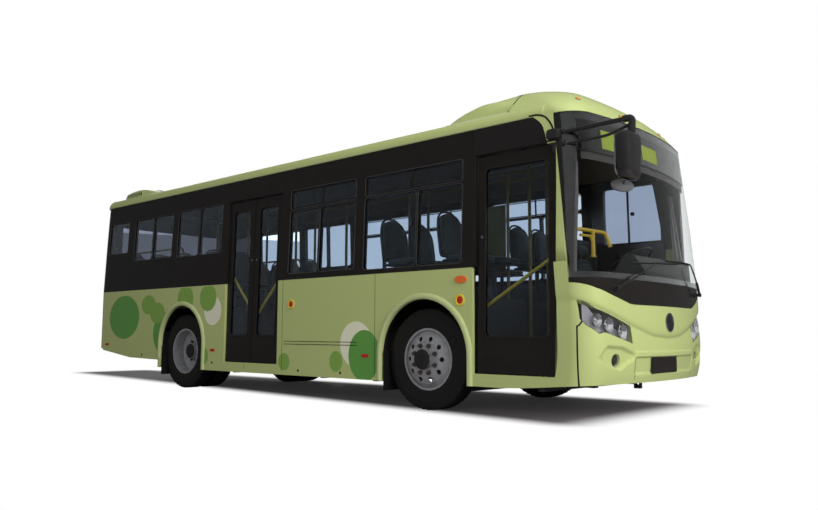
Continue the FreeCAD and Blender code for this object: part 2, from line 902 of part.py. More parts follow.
def profile_edges(points):
    vectors = [FreeCAD.Vector(r, v, 0) for r, v in points]
    pairs = zip(vectors, vectors[1:] + vectors[:1])
    return [Part.LineSegment(a, b).toShape() for a, b in pairs]


def tyre():
    bore = rim_radius + bead_clearance
    bead = rim_width / 2 - bead_clearance
    lip = rim_lip_radius + bead_clearance
    bulge = tyre_width / 2
    belly = lip + (tyre_radius - lip) * tyre_sidewall_share
    shoulder = tyre_radius - tyre_shoulder
    tread = tread_width / 2

    def at(r, v):
        return FreeCAD.Vector(r, v, 0)

    chain = [at(bore, -bead), at(bore, bead), at(lip, bead), at(lip, bead + rim_plate)]
    edges = [Part.LineSegment(a, b).toShape() for a, b in zip(chain, chain[1:])]
    edges.append(Part.Arc(chain[-1], at(belly, bulge), at(shoulder, tread + rim_plate)).toShape())
    edges.append(Part.LineSegment(at(shoulder, tread + rim_plate), at(tyre_radius, tread)).toShape())
    edges.append(Part.LineSegment(at(tyre_radius, tread), at(tyre_radius, -tread)).toShape())
    edges.append(Part.LineSegment(at(tyre_radius, -tread), at(shoulder, -tread - rim_plate)).toShape())
    edges.append(Part.Arc(at(shoulder, -tread - rim_plate), at(belly, -bulge),
                          at(lip, -bead - rim_plate)).toShape())
    edges.append(Part.LineSegment(at(lip, -bead - rim_plate), at(lip, -bead)).toShape())
    edges.append(Part.LineSegment(at(lip, -bead), at(bore, -bead)).toShape())
    return revolve_wheel(edges, 0)


disc_offset = 137.0
disc_plate = 12.0
disc_flat_radius = 175.0
disc_shoulder_radius = 235.0
disc_bore_radius = 105.0


# One rim with its dished disc; the disc's flat lies at the disc offset from the middle.
def rim():
    edge, inside = rim_width / 2, rim_radius - rim_plate
    barrel = [(inside, -edge - rim_plate), (rim_lip_radius, -edge - rim_plate), (rim_lip_radius, -edge),
              (rim_radius, -edge), (rim_radius, edge), (rim_lip_radius, edge),
              (rim_lip_radius, edge + rim_plate), (inside, edge + rim_plate)]
    barrel = revolve_wheel(profile_edges(barrel), 0)
    joint = edge - disc_plate - rim_plate
    dish = [(inside + rim_plate / 2, joint), (disc_shoulder_radius, disc_offset - disc_plate * 2),
            (disc_flat_radius, disc_offset), (disc_bore_radius - rim_plate, disc_offset),
            (disc_bore_radius - rim_plate, disc_offset - disc_plate),
            (disc_flat_radius, disc_offset - disc_plate),
            (disc_shoulder_radius - disc_plate, disc_offset - disc_plate * 3),
            (inside + rim_plate / 2, joint - disc_plate)]
    dish = revolve_wheel(profile_edges(dish), 0)
    for i in range(vent_count):
        angle = 2 * math.pi * i / vent_count
        x, z = math.cos(angle) * vent_circle / 2, math.sin(angle) * vent_circle / 2
        dish = dish.cut(rod((x, 0, z), (x, disc_offset + overrun, z), vent_radius))
    return fused([barrel, dish])


def nuts(face_y, sign):
    shapes = []
    for i in range(nut_count):
        angle = 2 * math.pi * (i + 1 / 2) / nut_count
        x, z = math.cos(angle) * nut_circle / 2, math.sin(angle) * nut_circle / 2
        shapes.append(rod((x, face_y - sign * disc_plate / 2, z), (x, face_y + sign * nut_height, z),
                          nut_radius))
    return shapes


hub_cap_radius = 78.0
hub_cap_reach = 40.0
hub_tail = 70.0
brake_radius = 195.0
brake_width = 40.0


def front_wheel():
    hub_face = disc_offset + disc_plate
    hub = fused([rod((0, -hub_tail, 0), (0, disc_offset, 0), disc_bore_radius),
                 rod((0, disc_offset, 0), (0, hub_face, 0), hub_cap_radius),
                 rod((0, hub_face, 0), (0, disc_offset + hub_cap_reach, 0), hub_cap_radius),
                 rod((0, -hub_tail, 0), (0, -hub_tail + brake_width, 0), brake_radius)])
    bore = rod((0, -hub_tail - overrun, 0), (0, disc_offset - disc_plate, 0), hub_bore_radius + running_gap)
    return fused([rim(), hub] + nuts(disc_offset, 1)).cut(bore)


twin_half = (outer_twin_y - inner_twin_y) / 2
rear_hub_reach = 150.0


# The twin wheel is modelled about the plane where its two discs meet.
def rear_wheel():
    shift = twin_half
    inner = rim()
    inner.translate(FreeCAD.Vector(0, -disc_offset, 0))
    outer = rim().mirror(FreeCAD.Vector(0, 0, 0), FreeCAD.Vector(0, 1, 0))
    outer.translate(FreeCAD.Vector(0, disc_offset, 0))
    hub = fused([rod((0, -shift, 0), (0, rear_hub_reach, 0), disc_bore_radius),
                 rod((0, -shift, 0), (0, -shift + brake_width, 0), brake_radius)])
    bore = rod((0, -shift - overrun, 0), (0, rear_hub_reach - disc_plate, 0),
               hub_bore_radius + running_gap)
    return fused([inner, outer, hub] + nuts(disc_plate, 1)).cut(bore)


def placed(shape, x, y, z):
    moved = shape.copy()
    if y < 0:
        moved = mirrored(moved)
    moved.translate(FreeCAD.Vector(x, y, z))
    return moved


def save_wheels():
    front, twin, cover = front_wheel(), rear_wheel(), tyre()
    middle = (outer_twin_y + inner_twin_y) / 2
    for name, side in (("left", 1), ("right", -1)):
        save("wheel_front_" + name, placed(front, front_axle_x, side * front_wheel_y, tyre_radius))
        save("tyre_front_" + name, placed(cover, front_axle_x, side * front_wheel_y, tyre_radius))
        save("wheel_rear_" + name, placed(twin, rear_axle_x, side * middle, tyre_radius))
        pair = [placed(cover, rear_axle_x, side * y, tyre_radius) for y in (middle - disc_offset,
                                                                          middle + disc_offset)]
        save("tyres_rear_" + name, Part.makeCompound(pair))


# Front beam: dropped in the middle, rising to the kingpin eyes.
beam_drop_y = 560.0
beam_eye_half = 57.0
eye_radius = 46.0
spindle_tail = 130.0


def front_axle():
    low, high = axle_beam_low, axle_beam_low + axle_beam_height
    eye_low, eye_high = tyre_radius - beam_eye_half, tyre_radius + beam_eye_half
    points = [(0, low), (beam_drop_y + wall, low), (kingpin_y - eye_radius * 2, high + wall),
              (kingpin_y - eye_radius, eye_low), (kingpin_y, eye_low), (kingpin_y, eye_high),
              (kingpin_y - eye_radius * 3, eye_high), (wheel_box_y + box_plate * 2, high + wall),
              (beam_drop_y, high), (0, high)]
    half = axle_beam_width / 2
    beam = prism_yz(points, front_axle_x - half, front_axle_x + half)
    eye = rod((front_axle_x, kingpin_y, eye_low), (front_axle_x, kingpin_y, eye_high), eye_radius)
    ear = box(front_axle_x - half - overrun, front_axle_x + half + overrun, kingpin_y, body_width, 0,
              body_width)
    arm = fused([beam, eye]).cut(ear.cut(eye))
    pads = box(front_axle_x - half, front_axle_x + half, rail_y - rail_width / 2, rail_y + rail_width / 2,
               high, low_floor - floor_plate - rail_height)
    bore = rod((front_axle_x, kingpin_y, 0), (front_axle_x, kingpin_y, body_width),
               kingpin_radius + running_gap)
    arm = fused([arm, pads]).cut(bore)
    return fused([arm, mirrored(arm)])


def knuckle(side):
    x, z = front_axle_x, tyre_radius
    inner, outer = beam_eye_half + seat_gap, beam_eye_half + seat_gap + yoke_thickness
    shapes = []
    for sign in (1, -1):
        shapes.append(rod((x, kingpin_y, z + sign * inner), (x, kingpin_y, z + sign * outer), eye_radius))
        shapes.append(box(x - eye_radius, x + eye_radius, kingpin_y, kingpin_y + eye_radius + yoke_thickness,
                          z + sign * inner, z + sign * outer))
    plate_y = kingpin_y + eye_radius + door_play
    shapes.append(box(x - eye_radius, x + eye_radius, plate_y, plate_y + yoke_thickness,
                      z - outer, z + outer))
    shapes.append(rod((x, kingpin_y, z - outer), (x, kingpin_y, z + outer), kingpin_radius))
    shapes.append(rod((x, plate_y, z), (x, front_wheel_y + spindle_reach, z), hub_bore_radius))
    part = fused(shapes)
    return part if side > 0 else mirrored(part)


spindle_reach = 110.0


def rear_axle():
    middle = (outer_twin_y + inner_twin_y) / 2
    x, z = rear_axle_x, tyre_radius
    stop = middle - twin_half - door_play
    end = middle + rear_hub_reach - disc_plate * 2
    shapes = [rod((x, -stop, z), (x, stop, z), axle_tube_radius),
              rod((x, -end, z), (x, end, z), hub_bore_radius),
              Part.makeSphere(diff_radius, FreeCAD.Vector(x, 0, z))]
    top = high_floor - floor_plate - rail_height
    for side in (1, -1):
        shapes.append(rod((x, side * rail_y, z), (x, side * rail_y, top), spring_radius))
    return fused(shapes)


# Doors. Each leaf hangs on two arms of a turning post and folds inward, staying on its
# track: the leaf turns back twice as far as the post turns. Local axes: x runs from the
# post to the free edge, y inward, z up the post. The whole door leans with the wall.
door_lean = math.atan2(side_lean * (door_head - belt_height) / band, door_head - door_sill)


def door_sizes(width):
    near = post_setback + door_gap
    far = width + post_setback - door_gap
    pivot = (far - roller_inset) / 2
    return near, far, pivot


def door_height():
    return (door_head - door_sill) / math.cos(door_lean)


# The arms run clear of the leaf: one between floor and leaf, one between leaf and drive.
def arm_levels():
    return low_floor - door_sill + arm_lift, door_height() + arm_rise


def door_post(width):
    pivot = door_sizes(width)[2]
    top, foot = door_height() + drive_gap, low_floor - door_sill + seat_gap * 2
    post = rod((0, 0, foot), (0, 0, top), post_radius)
    web = arm_width * arm_web_share
    for z in arm_levels():
        arm = fused([rod((0, 0, z), (0, 0, z + arm_height), (arm_width + post_radius) / 2),
                     box(0, pivot, -web, web, z, z + arm_height),
                     rod((pivot, 0, z), (pivot, 0, z + arm_height), arm_width / 2)])
        pin_hole = rod((pivot, 0, z), (pivot, 0, z + arm_height), arm_pin_radius + running_gap)
        post = fused([post, arm.cut(pin_hole)])
    return post


drive_gap = 30.0
drive_height = 130.0
drive_depth = 150.0
pivot_lug = 12.0
leaf_play = 8.0


def leaf_plane():
    return -(post_depth - leaf_recess - leaf_thickness / 2)


def leaf_opening(width, grow):
    near, far = door_sizes(width)[:2]
    return rounded_slab(near + leaf_border - grow, far - leaf_border + grow,
                        leaf_glass_foot - grow, door_height() - leaf_glass_head + grow,
                        window_radius + grow, leaf_plane() - leaf_thickness, leaf_plane() + leaf_thickness)


def door_leaf(width):
    near, far, pivot = door_sizes(width)
    y0, y1 = leaf_plane() - leaf_thickness / 2, leaf_plane() + leaf_thickness / 2
    frame = box(near, far, y0, y1, leaf_play, door_height() - leaf_play).cut(leaf_opening(width, 0))
    arm_low, arm_high = arm_levels()
    foot, head = leaf_play, door_height() - leaf_play
    shapes = [frame]
    for lug_z, pin_z in ((foot, arm_low), (head - pivot_lug, arm_high + arm_height)):
        lug = [rod((pivot, 0, lug_z), (pivot, 0, lug_z + pivot_lug), arm_width / 2),
               box(pivot - arm_width / 2, pivot + arm_width / 2, y1, 0, lug_z, lug_z + pivot_lug),
               rod((pivot, 0, min(lug_z, pin_z)), (pivot, 0, max(lug_z + pivot_lug, pin_z)), arm_pin_radius)]
        shapes += lug
    low = (far - leaf_border / 2, grab_low_share * door_height())
    high = (near + leaf_border / 2, grab_high_share * door_height())
    line = y1 + grab_stand - grab_radius * 2
    shapes.append(rod((low[0], line, low[1]), (high[0], line, high[1]), grab_radius))
    for x, z in (low, high):
        shapes.append(rod((x, y1 - seat_gap, z), (x, line + grab_radius / 3, z), grab_foot_radius))
    return fused(shapes)


grab_low_share = 0.30
grab_high_share = 0.52


def door_glass(width):
    y = leaf_plane()
    sheet = box(0, width * 2, y - glass_thickness / 2, y + glass_thickness / 2, 0, door_height())
    return sheet.common(leaf_opening(width, 0))


# Puts a door's local shape at its post; free is +1 where the leaf runs forward from it.
def hung(shape, post_x, free):
    moved = shape.copy()
    if free < 0:
        moved = moved.mirror(FreeCAD.Vector(0, 0, 0), FreeCAD.Vector(1, 0, 0))
    moved.rotate(FreeCAD.Vector(0, 0, 0), FreeCAD.Vector(1, 0, 0), -math.degrees(door_lean))
    moved.translate(FreeCAD.Vector(post_x, -half_width + post_depth, door_sill))
    return moved


def door_places():
    (mid_x0, mid_x1), (front_x0, front_x1) = door_spans()
    leaf = mid_door_width / 2
    return (("door_front", front_x1 + post_setback, -1, front_door_width),
            ("door_mid_front", mid_x1 + post_setback, -1, leaf),
            ("door_mid_rear", mid_x0 - post_setback, 1, leaf))


def save_doors():
    for name, x, free, width in door_places():
        save(name + "_post", hung(door_post(width), x, free))
        save(name + "_leaf", hung(door_leaf(width), x, free))
        save(name + "_glass", hung(door_glass(width), x, free))


def door_drives():
    shapes = []
    z0 = door_head + drive_gap + seat_gap * 2
    outer = half_width - wall
    for x0, x1 in door_spans():
        drive = box(x0 - post_setback * 2, x1 + post_setback * 2, -outer, -outer + drive_depth,
                    z0, z0 + drive_height)
        inside = mirrored(wall_slice(x0 - body_length, x1 + body_length, belt_height, drip_height, -wall))
        shapes.append(drive.cut(inside).cut(nose_solid(0).cut(nose_solid(wall + seat_gap))))
    return Part.makeCompound(shapes)


# Seats: pairs on legs. Rows as shares of the wheelbase from the front axle.
seat_width = 430.0
seat_depth = 420.0
seat_cushion = 70.0
seat_back_height = 500.0
seat_back_thickness = 60.0
seat_back_rake = 70.0
seat_pan_height = 350.0
seat_wall_gap = 30.0
seat_pair_gap = 15.0
leg_radius = 22.0
raised_pan_height = 475.0
low_pan_height = 430.0
front_rows_share = (0.070, -0.110)
rear_rows_share = (-0.875, -1.045, -1.175)
bench_row_share = -1.39
left_rows_share = (-0.33, -0.50)


# Each row: its place, the pan's height, what the wall seat and the aisle seat stand on.
def seat_rows():
    over_box = wheel_box_top + seat_pan_height
    rear = high_floor + raised_pan_height
    half = wheel_box_length / 2 / wheelbase
    rows = [(share, over_box, wheel_box_top, wheel_box_top) for share in front_rows_share]
    for share in rear_rows_share:
        wall_foot = wheel_box_top if abs(share + 1) < half else high_floor
        rows.append((share, rear, wall_foot, high_floor))
    rows.append((bench_row_share, rear_platform + seat_pan_height, rear_platform, rear_platform))
    return rows


def seat_shell(x, y, pan):
    y0, y1 = y - seat_width / 2, y + seat_width / 2
    front = x + seat_depth
    points = [(x, pan), (front, pan), (front, pan + seat_cushion), (x + seat_back_thickness, pan + seat_cushion),
              (x - seat_back_rake + seat_back_thickness, pan + seat_back_height),
              (x - seat_back_rake, pan + seat_back_height), (x - seat_back_rake / 6, pan + seat_cushion)]
    return prism_xz(points, y0, y1)


def seat_spots():
    spots = []
    inner = half_width - wall - side_lean - seat_wall_gap
    y_wall = inner - seat_width / 2
    y_aisle = y_wall - seat_width - seat_pair_gap
    low_pan = low_floor + low_pan_height
    for side in (1, -1):
        rows = seat_rows()
        if side > 0:
            rows += [(share, low_pan, low_floor, low_floor) for share in left_rows_share]
        for share, pan, wall_foot, aisle_foot in rows:
            x = front_axle_x + share * wheelbase - seat_depth / 2
            spots.append((x, side * y_wall, pan, wall_foot))
            spots.append((x, side * y_aisle, pan, aisle_foot))
    return spots


def passenger_seats():
    return Part.makeCompound([seat_shell(x, y, pan) for x, y, pan, foot in seat_spots()])


def seat_legs():
    legs = []
    for x, y, pan, foot in seat_spots():
        centre = x + seat_depth / 2
        legs.append(rod((centre, y, foot), (centre, y, pan), leg_radius))
    return Part.makeCompound(legs)


# Yellow rails: posts from floor to ceiling along the aisle, and a rail overhead.
pole_radius = 17.0
pole_y = 170.0
rail_drop = 220.0
pole_offsets_share = (0.135, -0.25, -0.50, -0.73)
rear_pole_share = (-0.98, -1.16)


def handrails():
    under_roof = fused([roof_solid(roof_skin, tail_join_x, roof_front_x),
                        box(tail_join_x, roof_front_x, -half_width + overrun * 3, half_width - overrun * 3,
                            0, drip_height)])
    rail_z = drip_height - rail_drop
    sets = []
    for side in (1, -1):
        y = side * pole_y
        spots = [(share, low_floor) for share in pole_offsets_share]
        spots += [(share, high_floor) for share in rear_pole_share]
        poles = []
        for share, foot in spots:
            x = front_axle_x + share * wheelbase
            poles.append(rod((x, y, foot), (x, y, roof_height), pole_radius))
        x0, x1 = (front_axle_x + share * wheelbase for share in (rear_pole_share[-1], pole_offsets_share[0]))
        poles.append(rod((x0, y, rail_z), (x1, y, rail_z), pole_radius))
        sets.append(fused(poles).common(under_roof))
    return Part.makeCompound(sets)


# Driver's place.
dash_front = 1840.0
dash_height = 1450.0
dash_depth = 300.0
dash_right_y = -290.0
console_height = 1150.0
wheel_ring_radius = 225.0
wheel_ring_tube = 14.0
wheel_tilt = 30.0
wheel_x = 1300.0
wheel_y = 620.0
wheel_z = 1480.0
column_radius = 28.0
column_length = 330.0
driver_seat_x = 960.0
partition_x = 630.0
partition_height = 1150.0
partition_plate = 20.0


def dashboard():
    x1 = front_axle_x + dash_front
    x0 = x1 - dash_depth
    points = [(x0, driver_floor), (x1, driver_floor), (x1, dash_height - dash_depth / 2),
              (x0 + dash_depth * 2 / 3, dash_height), (x0 + dash_depth / 3, dash_height),
              (x0, dash_height - dash_depth / 2), (x0 + dash_depth / 4, dash_height - dash_depth),
              (x0 + dash_depth / 4, driver_floor + dash_depth / 4)]
    body = prism_xz(points, dash_right_y, half_width)
    low = box(x0 + dash_depth / 3, x1, -half_width, half_width, low_floor, console_height)
    foot = box(x0 + dash_depth / 4, x1, driver_floor_y, half_width, low_floor, driver_floor)
    desk = fused([body, low, foot])
    clear = nose_solid(wall + seat_gap)
    floor_zone = box(0, floor_front_x, -half_width, half_width, 0, driver_floor)
    return desk.common(clear).cut(floor_zone).cut(steering_column())


def column_axis():
    tilt = math.radians(wheel_tilt)
    return FreeCAD.Vector(-math.sin(tilt), 0, math.cos(tilt))


def steering_column():
    axis = column_axis()
    top = FreeCAD.Vector(front_axle_x + wheel_x, wheel_y, wheel_z)
    foot = top - axis * (wheel_z - driver_floor) * (1 / math.cos(math.radians(wheel_tilt)))
    column = Part.makeCylinder(column_radius, (top - foot).Length + column_radius, foot - axis * column_radius,
                               axis)
    ground = box(0, body_length, 0, half_width, 0, driver_floor)
    column = column.cut(ground)
    cut = Part.makeCylinder(body_width, body_width, top, axis)
    return column.cut(cut)


def steering_wheel():
    axis = column_axis()
    centre = FreeCAD.Vector(front_axle_x + wheel_x, wheel_y, wheel_z)
    ring = Part.makeTorus(wheel_ring_radius, wheel_ring_tube)
    hub = Part.makeCylinder(column_radius * 2, wheel_ring_tube * 2, FreeCAD.Vector(0, 0, -wheel_ring_tube))
    shapes = [ring, hub]
    for i in range(spoke_count):
        angle = math.radians(90 + 360 * i / spoke_count)
        tip = (math.cos(angle) * wheel_ring_radius, math.sin(angle) * wheel_ring_radius, 0)
        shapes.append(rod((0, 0, 0), tip, wheel_ring_tube * 2 / 3))
    wheel = fused(shapes)
    wheel.rotate(FreeCAD.Vector(0, 0, 0), FreeCAD.Vector(0, 1, 0), -wheel_tilt)
    wheel.translate(centre + axis * (wheel_ring_tube + seat_gap))
    return wheel


spoke_count = 3


def driver_seat():
    x = front_axle_x + driver_seat_x - seat_depth / 2
    seat = seat_shell(x, wheel_y, driver_floor + seat_pan_height)
    base = box(x + wall, x + seat_depth - wall, wheel_y - seat_width / 3, wheel_y + seat_width / 3,
               driver_floor, driver_floor + seat_pan_height)
    return fused([seat, base])


def driver_partition():
    x = front_axle_x + partition_x
    inner = half_width - wall - side_lean
    return box(x, x + partition_plate, driver_floor_y, inner, driver_floor, driver_floor + partition_height)


# Outside fittings.
sign_half = 760.0
sign_foot = 2300.0
sign_height = 200.0
sign_depth = 80.0
sign_x = 1680.0


def destination_sign():
    x1 = front_axle_x + sign_x
    sign = box(x1 - sign_depth, x1, -sign_half, sign_half, sign_foot, sign_foot + sign_height)
    hangers = [box(x1 - sign_depth, x1 - sign_depth / 2, y - wall / 2, y + wall / 2,
                   sign_foot + sign_height, drip_height) for y in (-sign_half / 2, sign_half / 2)]
    return fused([sign] + hangers)


wiper_radius = 9.0
wiper_stand = 30.0
# Each arm's pivot and tip, across over the half width and up over the belt height.
wiper_ends_share = ((-0.7333, 0.8408, -0.1083, 1.0351), (0.7167, 0.8408, 0.05, 1.0463))


def nose_x_at(y, z):
    probe = Part.makeLine(FreeCAD.Vector(nose_join_x + overrun, y, z),
                          FreeCAD.Vector(front_face_x + overrun * 2, y, z))
    hit = nose_face.common(probe)
    return max(v.X for v in hit.Vertexes)


def wipers():
    shapes = []
    for ends in wiper_ends_share:
        y0, y1 = (share * half_width for share in ends[::2])
        z0, z1 = (share * belt_height for share in ends[1::2])
        a = (nose_x_at(y0, z0), y0, z0)
        b = (nose_x_at(y1, z1) + wiper_stand, y1, z1)
        start = (a[0] + wiper_stand, y0, z0)
        arm = [rod((a[0] + seat_gap, y0, z0), (start[0] + wiper_radius, y0, z0), wiper_radius * 2),
               rod(start, b, wiper_radius)]
        shapes.append(fused(arm).cut(nose_face))
    return Part.makeCompound(shapes)


mirror_head_x = 2220.0
mirror_head_y = 1270.0
mirror_foot = 1980.0
mirror_height = 370.0
mirror_width = 200.0
mirror_depth = 95.0
mirror_arm_radius = 17.0
mirror_elbow_height = 2450.0
mirror_root_x = 1500.0
mirror_root_y = 1195.0
mirror_root_high = 2440.0
mirror_root_low = 2260.0
left_mirror_x = 1480.0
left_mirror_y = 1300.0
left_mirror_foot = 1600.0


def mirror_head(x, y, z):
    head = box(x - mirror_depth, x, y - mirror_width / 2, y + mirror_width / 2, z, z + mirror_height)
    return head.makeFillet(mirror_depth / 3, head.Edges)


def mirror_right():
    x = front_axle_x + mirror_head_x
    y = -mirror_head_y
    head = mirror_head(x, y, mirror_foot)
    centre = x - mirror_depth / 2
    elbow = (centre, y, mirror_elbow_height)
    shapes = [head, rod((centre, y, mirror_foot + mirror_height / 2), elbow, mirror_arm_radius),
              Part.makeSphere(mirror_arm_radius, FreeCAD.Vector(*elbow))]
    root = (front_axle_x + mirror_root_x, -side_y(mirror_root_high) + wall / 2)
    for z in (mirror_root_high, mirror_root_low):
        shapes.append(rod((root[0], root[1], z), elbow, mirror_arm_radius))
    return fused(shapes).cut(nose_face)


def mirror_left():
    x = front_axle_x + left_mirror_x
    head = mirror_head(x, left_mirror_y, left_mirror_foot)
    centre = x - mirror_depth / 2
    z = left_mirror_foot + mirror_height * 2 / 3
    arm = rod((centre, half_width - wall, z), (centre, left_mirror_y, z), mirror_arm_radius)
    return fused([head, arm]).cut(nose_face)


nose_face = nose_solid(0)

os.makedirs("parts", exist_ok=True)
makers = (chassis_frame, frame_posts, chassis_rear_frame, floor, floor_rear, roof, roof_hatch, side_windows, front_mask, front_black_panel,
          windshield, front_frame, front_cap, roof_pod, roof_vent, lamps_front, rear_wall, rear_cap, rear_window,
          engine_door, lamps_rear, engine, front_axle, rear_axle, door_drives, passenger_seats,
          seat_legs, handrails, dashboard, steering_column, steering_wheel, driver_seat,
          driver_partition, destination_sign, wipers, mirror_right, mirror_left)
for maker in makers:
    save(maker.__name__, maker())
for name, side in (("left", 1), ("right", -1)):
    save("side_lower_" + name, side_lower(side))
    save("side_upper_" + name, side_upper(side))
    save("knuckle_" + name, knuckle(side))
save_wheels()
save_doors()
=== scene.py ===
import math

import bmesh
import bpy
from mathutils import Matrix, Vector
from mathutils.bvhtree import BVHTree


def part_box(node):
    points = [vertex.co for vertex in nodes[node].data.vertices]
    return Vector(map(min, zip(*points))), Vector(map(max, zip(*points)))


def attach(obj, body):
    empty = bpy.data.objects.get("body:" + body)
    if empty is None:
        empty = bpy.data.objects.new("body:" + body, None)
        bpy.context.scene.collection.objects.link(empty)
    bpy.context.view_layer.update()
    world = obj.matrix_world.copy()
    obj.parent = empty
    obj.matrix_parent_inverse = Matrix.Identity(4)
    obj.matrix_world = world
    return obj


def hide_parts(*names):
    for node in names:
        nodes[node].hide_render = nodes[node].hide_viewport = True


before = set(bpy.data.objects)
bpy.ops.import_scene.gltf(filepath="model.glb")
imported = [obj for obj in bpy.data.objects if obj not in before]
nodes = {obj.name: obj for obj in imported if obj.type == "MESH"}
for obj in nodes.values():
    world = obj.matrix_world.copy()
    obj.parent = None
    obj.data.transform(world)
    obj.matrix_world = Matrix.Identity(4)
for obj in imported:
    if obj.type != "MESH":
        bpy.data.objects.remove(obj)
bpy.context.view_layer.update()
print("frame loaded with", len(nodes), "nodes")


# Places that the pieces share, in metres, read off the bus's own nodes
def nodeSpan(name):
    low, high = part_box(name)
    return low, high, (low + high) / 2


def linked(name, data):
    made = bpy.data.objects.new(name, data)
    bpy.context.scene.collection.objects.link(made)
    return made


frontAxleX = nodeSpan("wheel_front_right")[2].x
bodyHalf = -nodeSpan("side_lower_right")[0].y - 0.012
beltZ = nodeSpan("side_lower_right")[1].z
dripZ = nodeSpan("side_upper_right")[1].z
sideLean = 0.05


# Nodes and expressions for materials
class Sig:
    # wraps one output socket, so that shader maths reads as plain maths
    def __init__(self, mat, socket):
        self.mat = mat
        self.socket = socket

    def make(self, operation, *values):
        return self.mat.math(operation, *values)

    def __add__(self, other):
        return self.make("ADD", self, other)

    __radd__ = __add__

    def __mul__(self, other):
        return self.make("MULTIPLY", self, other)

    __rmul__ = __mul__

    def __sub__(self, other):
        return self.make("SUBTRACT", self, other)

    def __rsub__(self, other):
        return self.make("SUBTRACT", other, self)

    def __truediv__(self, other):
        return self.make("DIVIDE", self, other)

    def __pow__(self, other):
        return self.make("POWER", self, other)

    def low(self, other):
        return self.make("MINIMUM", self, other)

    def high(self, other):
        return self.make("MAXIMUM", self, other)

    def size(self):
        return self.make("ABSOLUTE", self)

    def clamped(self):
        return self.high(0.0).low(1.0)


class Finish:
    # one material and the calls that add its nodes
    def __init__(self, name, colour=(0.5, 0.5, 0.5), roughness=0.5, metallic=0.0, **more):
        self.mat = bpy.data.materials.new(name)
        self.mat.use_nodes = True
        self.tree = self.mat.node_tree
        self.shader = self.tree.nodes["Principled BSDF"]
        self.shader.inputs["Base Color"].default_value = (*colour, 1)
        self.shader.inputs["Roughness"].default_value = roughness
        self.shader.inputs["Metallic"].default_value = metallic
        for key, value in more.items():
            self.shader.inputs[key.replace("_", " ")].default_value = value

    def node(self, kind, settings=None, inputs=None, output=0):
        made = self.tree.nodes.new(kind)
        for key, value in (settings or {}).items():
            setattr(made, key, value)
        for key, value in (inputs or {}).items():
            self.plug(value, made.inputs[key])
        return Sig(self, made.outputs[output])

    def plug(self, value, socket):
        if isinstance(value, Sig):
            self.tree.links.new(value.socket, socket)
        elif isinstance(value, (tuple, list)) and len(value) == 3 and socket.type == "RGBA":
            socket.default_value = (*value, 1)
        else:
            socket.default_value = value

    def math(self, operation, *values):
        return self.node("ShaderNodeMath", {"operation": operation}, dict(enumerate(values)))

    def place(self):
        spot = self.node("ShaderNodeTexCoord", output=3)
        split = self.tree.nodes.new("ShaderNodeSeparateXYZ")
        self.tree.links.new(spot.socket, split.inputs[0])
        return spot, [Sig(self, split.outputs[i]) for i in range(3)]

    def noise(self, spot, scale, detail=3.0, rough=0.55):
        return self.node("ShaderNodeTexNoise", None,
                         {"Vector": spot, "Scale": scale, "Detail": detail, "Roughness": rough})

    def mix(self, factor, first, second):
        return self.node("ShaderNodeMix", {"data_type": "RGBA"}, {0: factor, 6: first, 7: second}, 2)

    def feed(self, name, value):
        self.plug(value, self.shader.inputs[name])
        return self

    def bump(self, height, distance=0.001, strength=0.5):
        normal = self.node("ShaderNodeBump", None,
                           {"Strength": strength, "Distance": distance, "Height": height})
        return self.feed("Normal", normal)


def step(value, edge, soft=0.001):
    # 0 below the edge, 1 above it, over a short soft stretch
    return ((value - (edge - soft)) / (2 * soft)).clamped()


def between(value, low, high, soft=0.001):
    return step(value, low, soft) * (1 - step(value, high, soft))


# Camera, light and floor
cameraSetup = {
    "focal": 755.084, "width": 818.0, "height": 510.0,
    "centreX": 398.735, "centreY": 257.135,      # principal point in the photograph's frame
    "fromFrontAxle": (4.7144, -6.7615, 0.7291),
    "yaw": 2.305, "pitch": 0.1012, "roll": 0.0046,
}
lightSetup = {
    "world": 0.25,
    "sky": ((4.5, -0.5, 9.5), (8.0, 7.0), 400.0, False),
    "nose": ((13.5, -2.5, 4.5), (6.0, 4.5), 1000.0, False),
    "side": ((6.5, -14.0, 4.2), (8.0, 4.0), 510.0, False),
    "back": ((-12.0, 6.0, 6.0), (6.0, 5.0), 200.0, True),
}


def makeCamera(setup):
    cam = bpy.data.cameras.new("photoCamera")
    cam.sensor_width = 36.0
    cam.lens = setup["focal"] / setup["width"] * cam.sensor_width
    cam.shift_x = (setup["width"] / 2 - setup["centreX"]) / setup["width"]
    cam.shift_y = (setup["centreY"] - setup["height"] / 2) / setup["width"]
    holder = linked("photoCamera", cam)
    yaw, pitch, roll = setup["yaw"], setup["pitch"], setup["roll"]
    ahead = Vector((math.cos(yaw) * math.cos(pitch), math.sin(yaw) * math.cos(pitch), math.sin(pitch)))
    right = Vector((math.sin(yaw), -math.cos(yaw), 0.0))
    up = right.cross(ahead)
    right, up = (right * math.cos(roll) + up * math.sin(roll),
                 up * math.cos(roll) - right * math.sin(roll))
    turn = Matrix((right, up, -ahead)).transposed().to_4x4()
    x, y, z = setup["fromFrontAxle"]
    holder.matrix_world = Matrix.Translation((frontAxleX + x, y, z)) @ turn
    bpy.context.scene.camera = holder


def makeLamp(name, place, size, power, mirrored):
    lamp = bpy.data.lights.new(name, "AREA")
    lamp.shape = "RECTANGLE"
    lamp.size, lamp.size_y = size
    lamp.energy = power
    holder = linked(name, lamp)
    holder.location = place
    holder.visible_glossy = holder.visible_transmission = mirrored
    holder.rotation_euler = (Vector((0, 0, 1.3)) - Vector(place)).to_track_quat("-Z", "Y").to_euler()


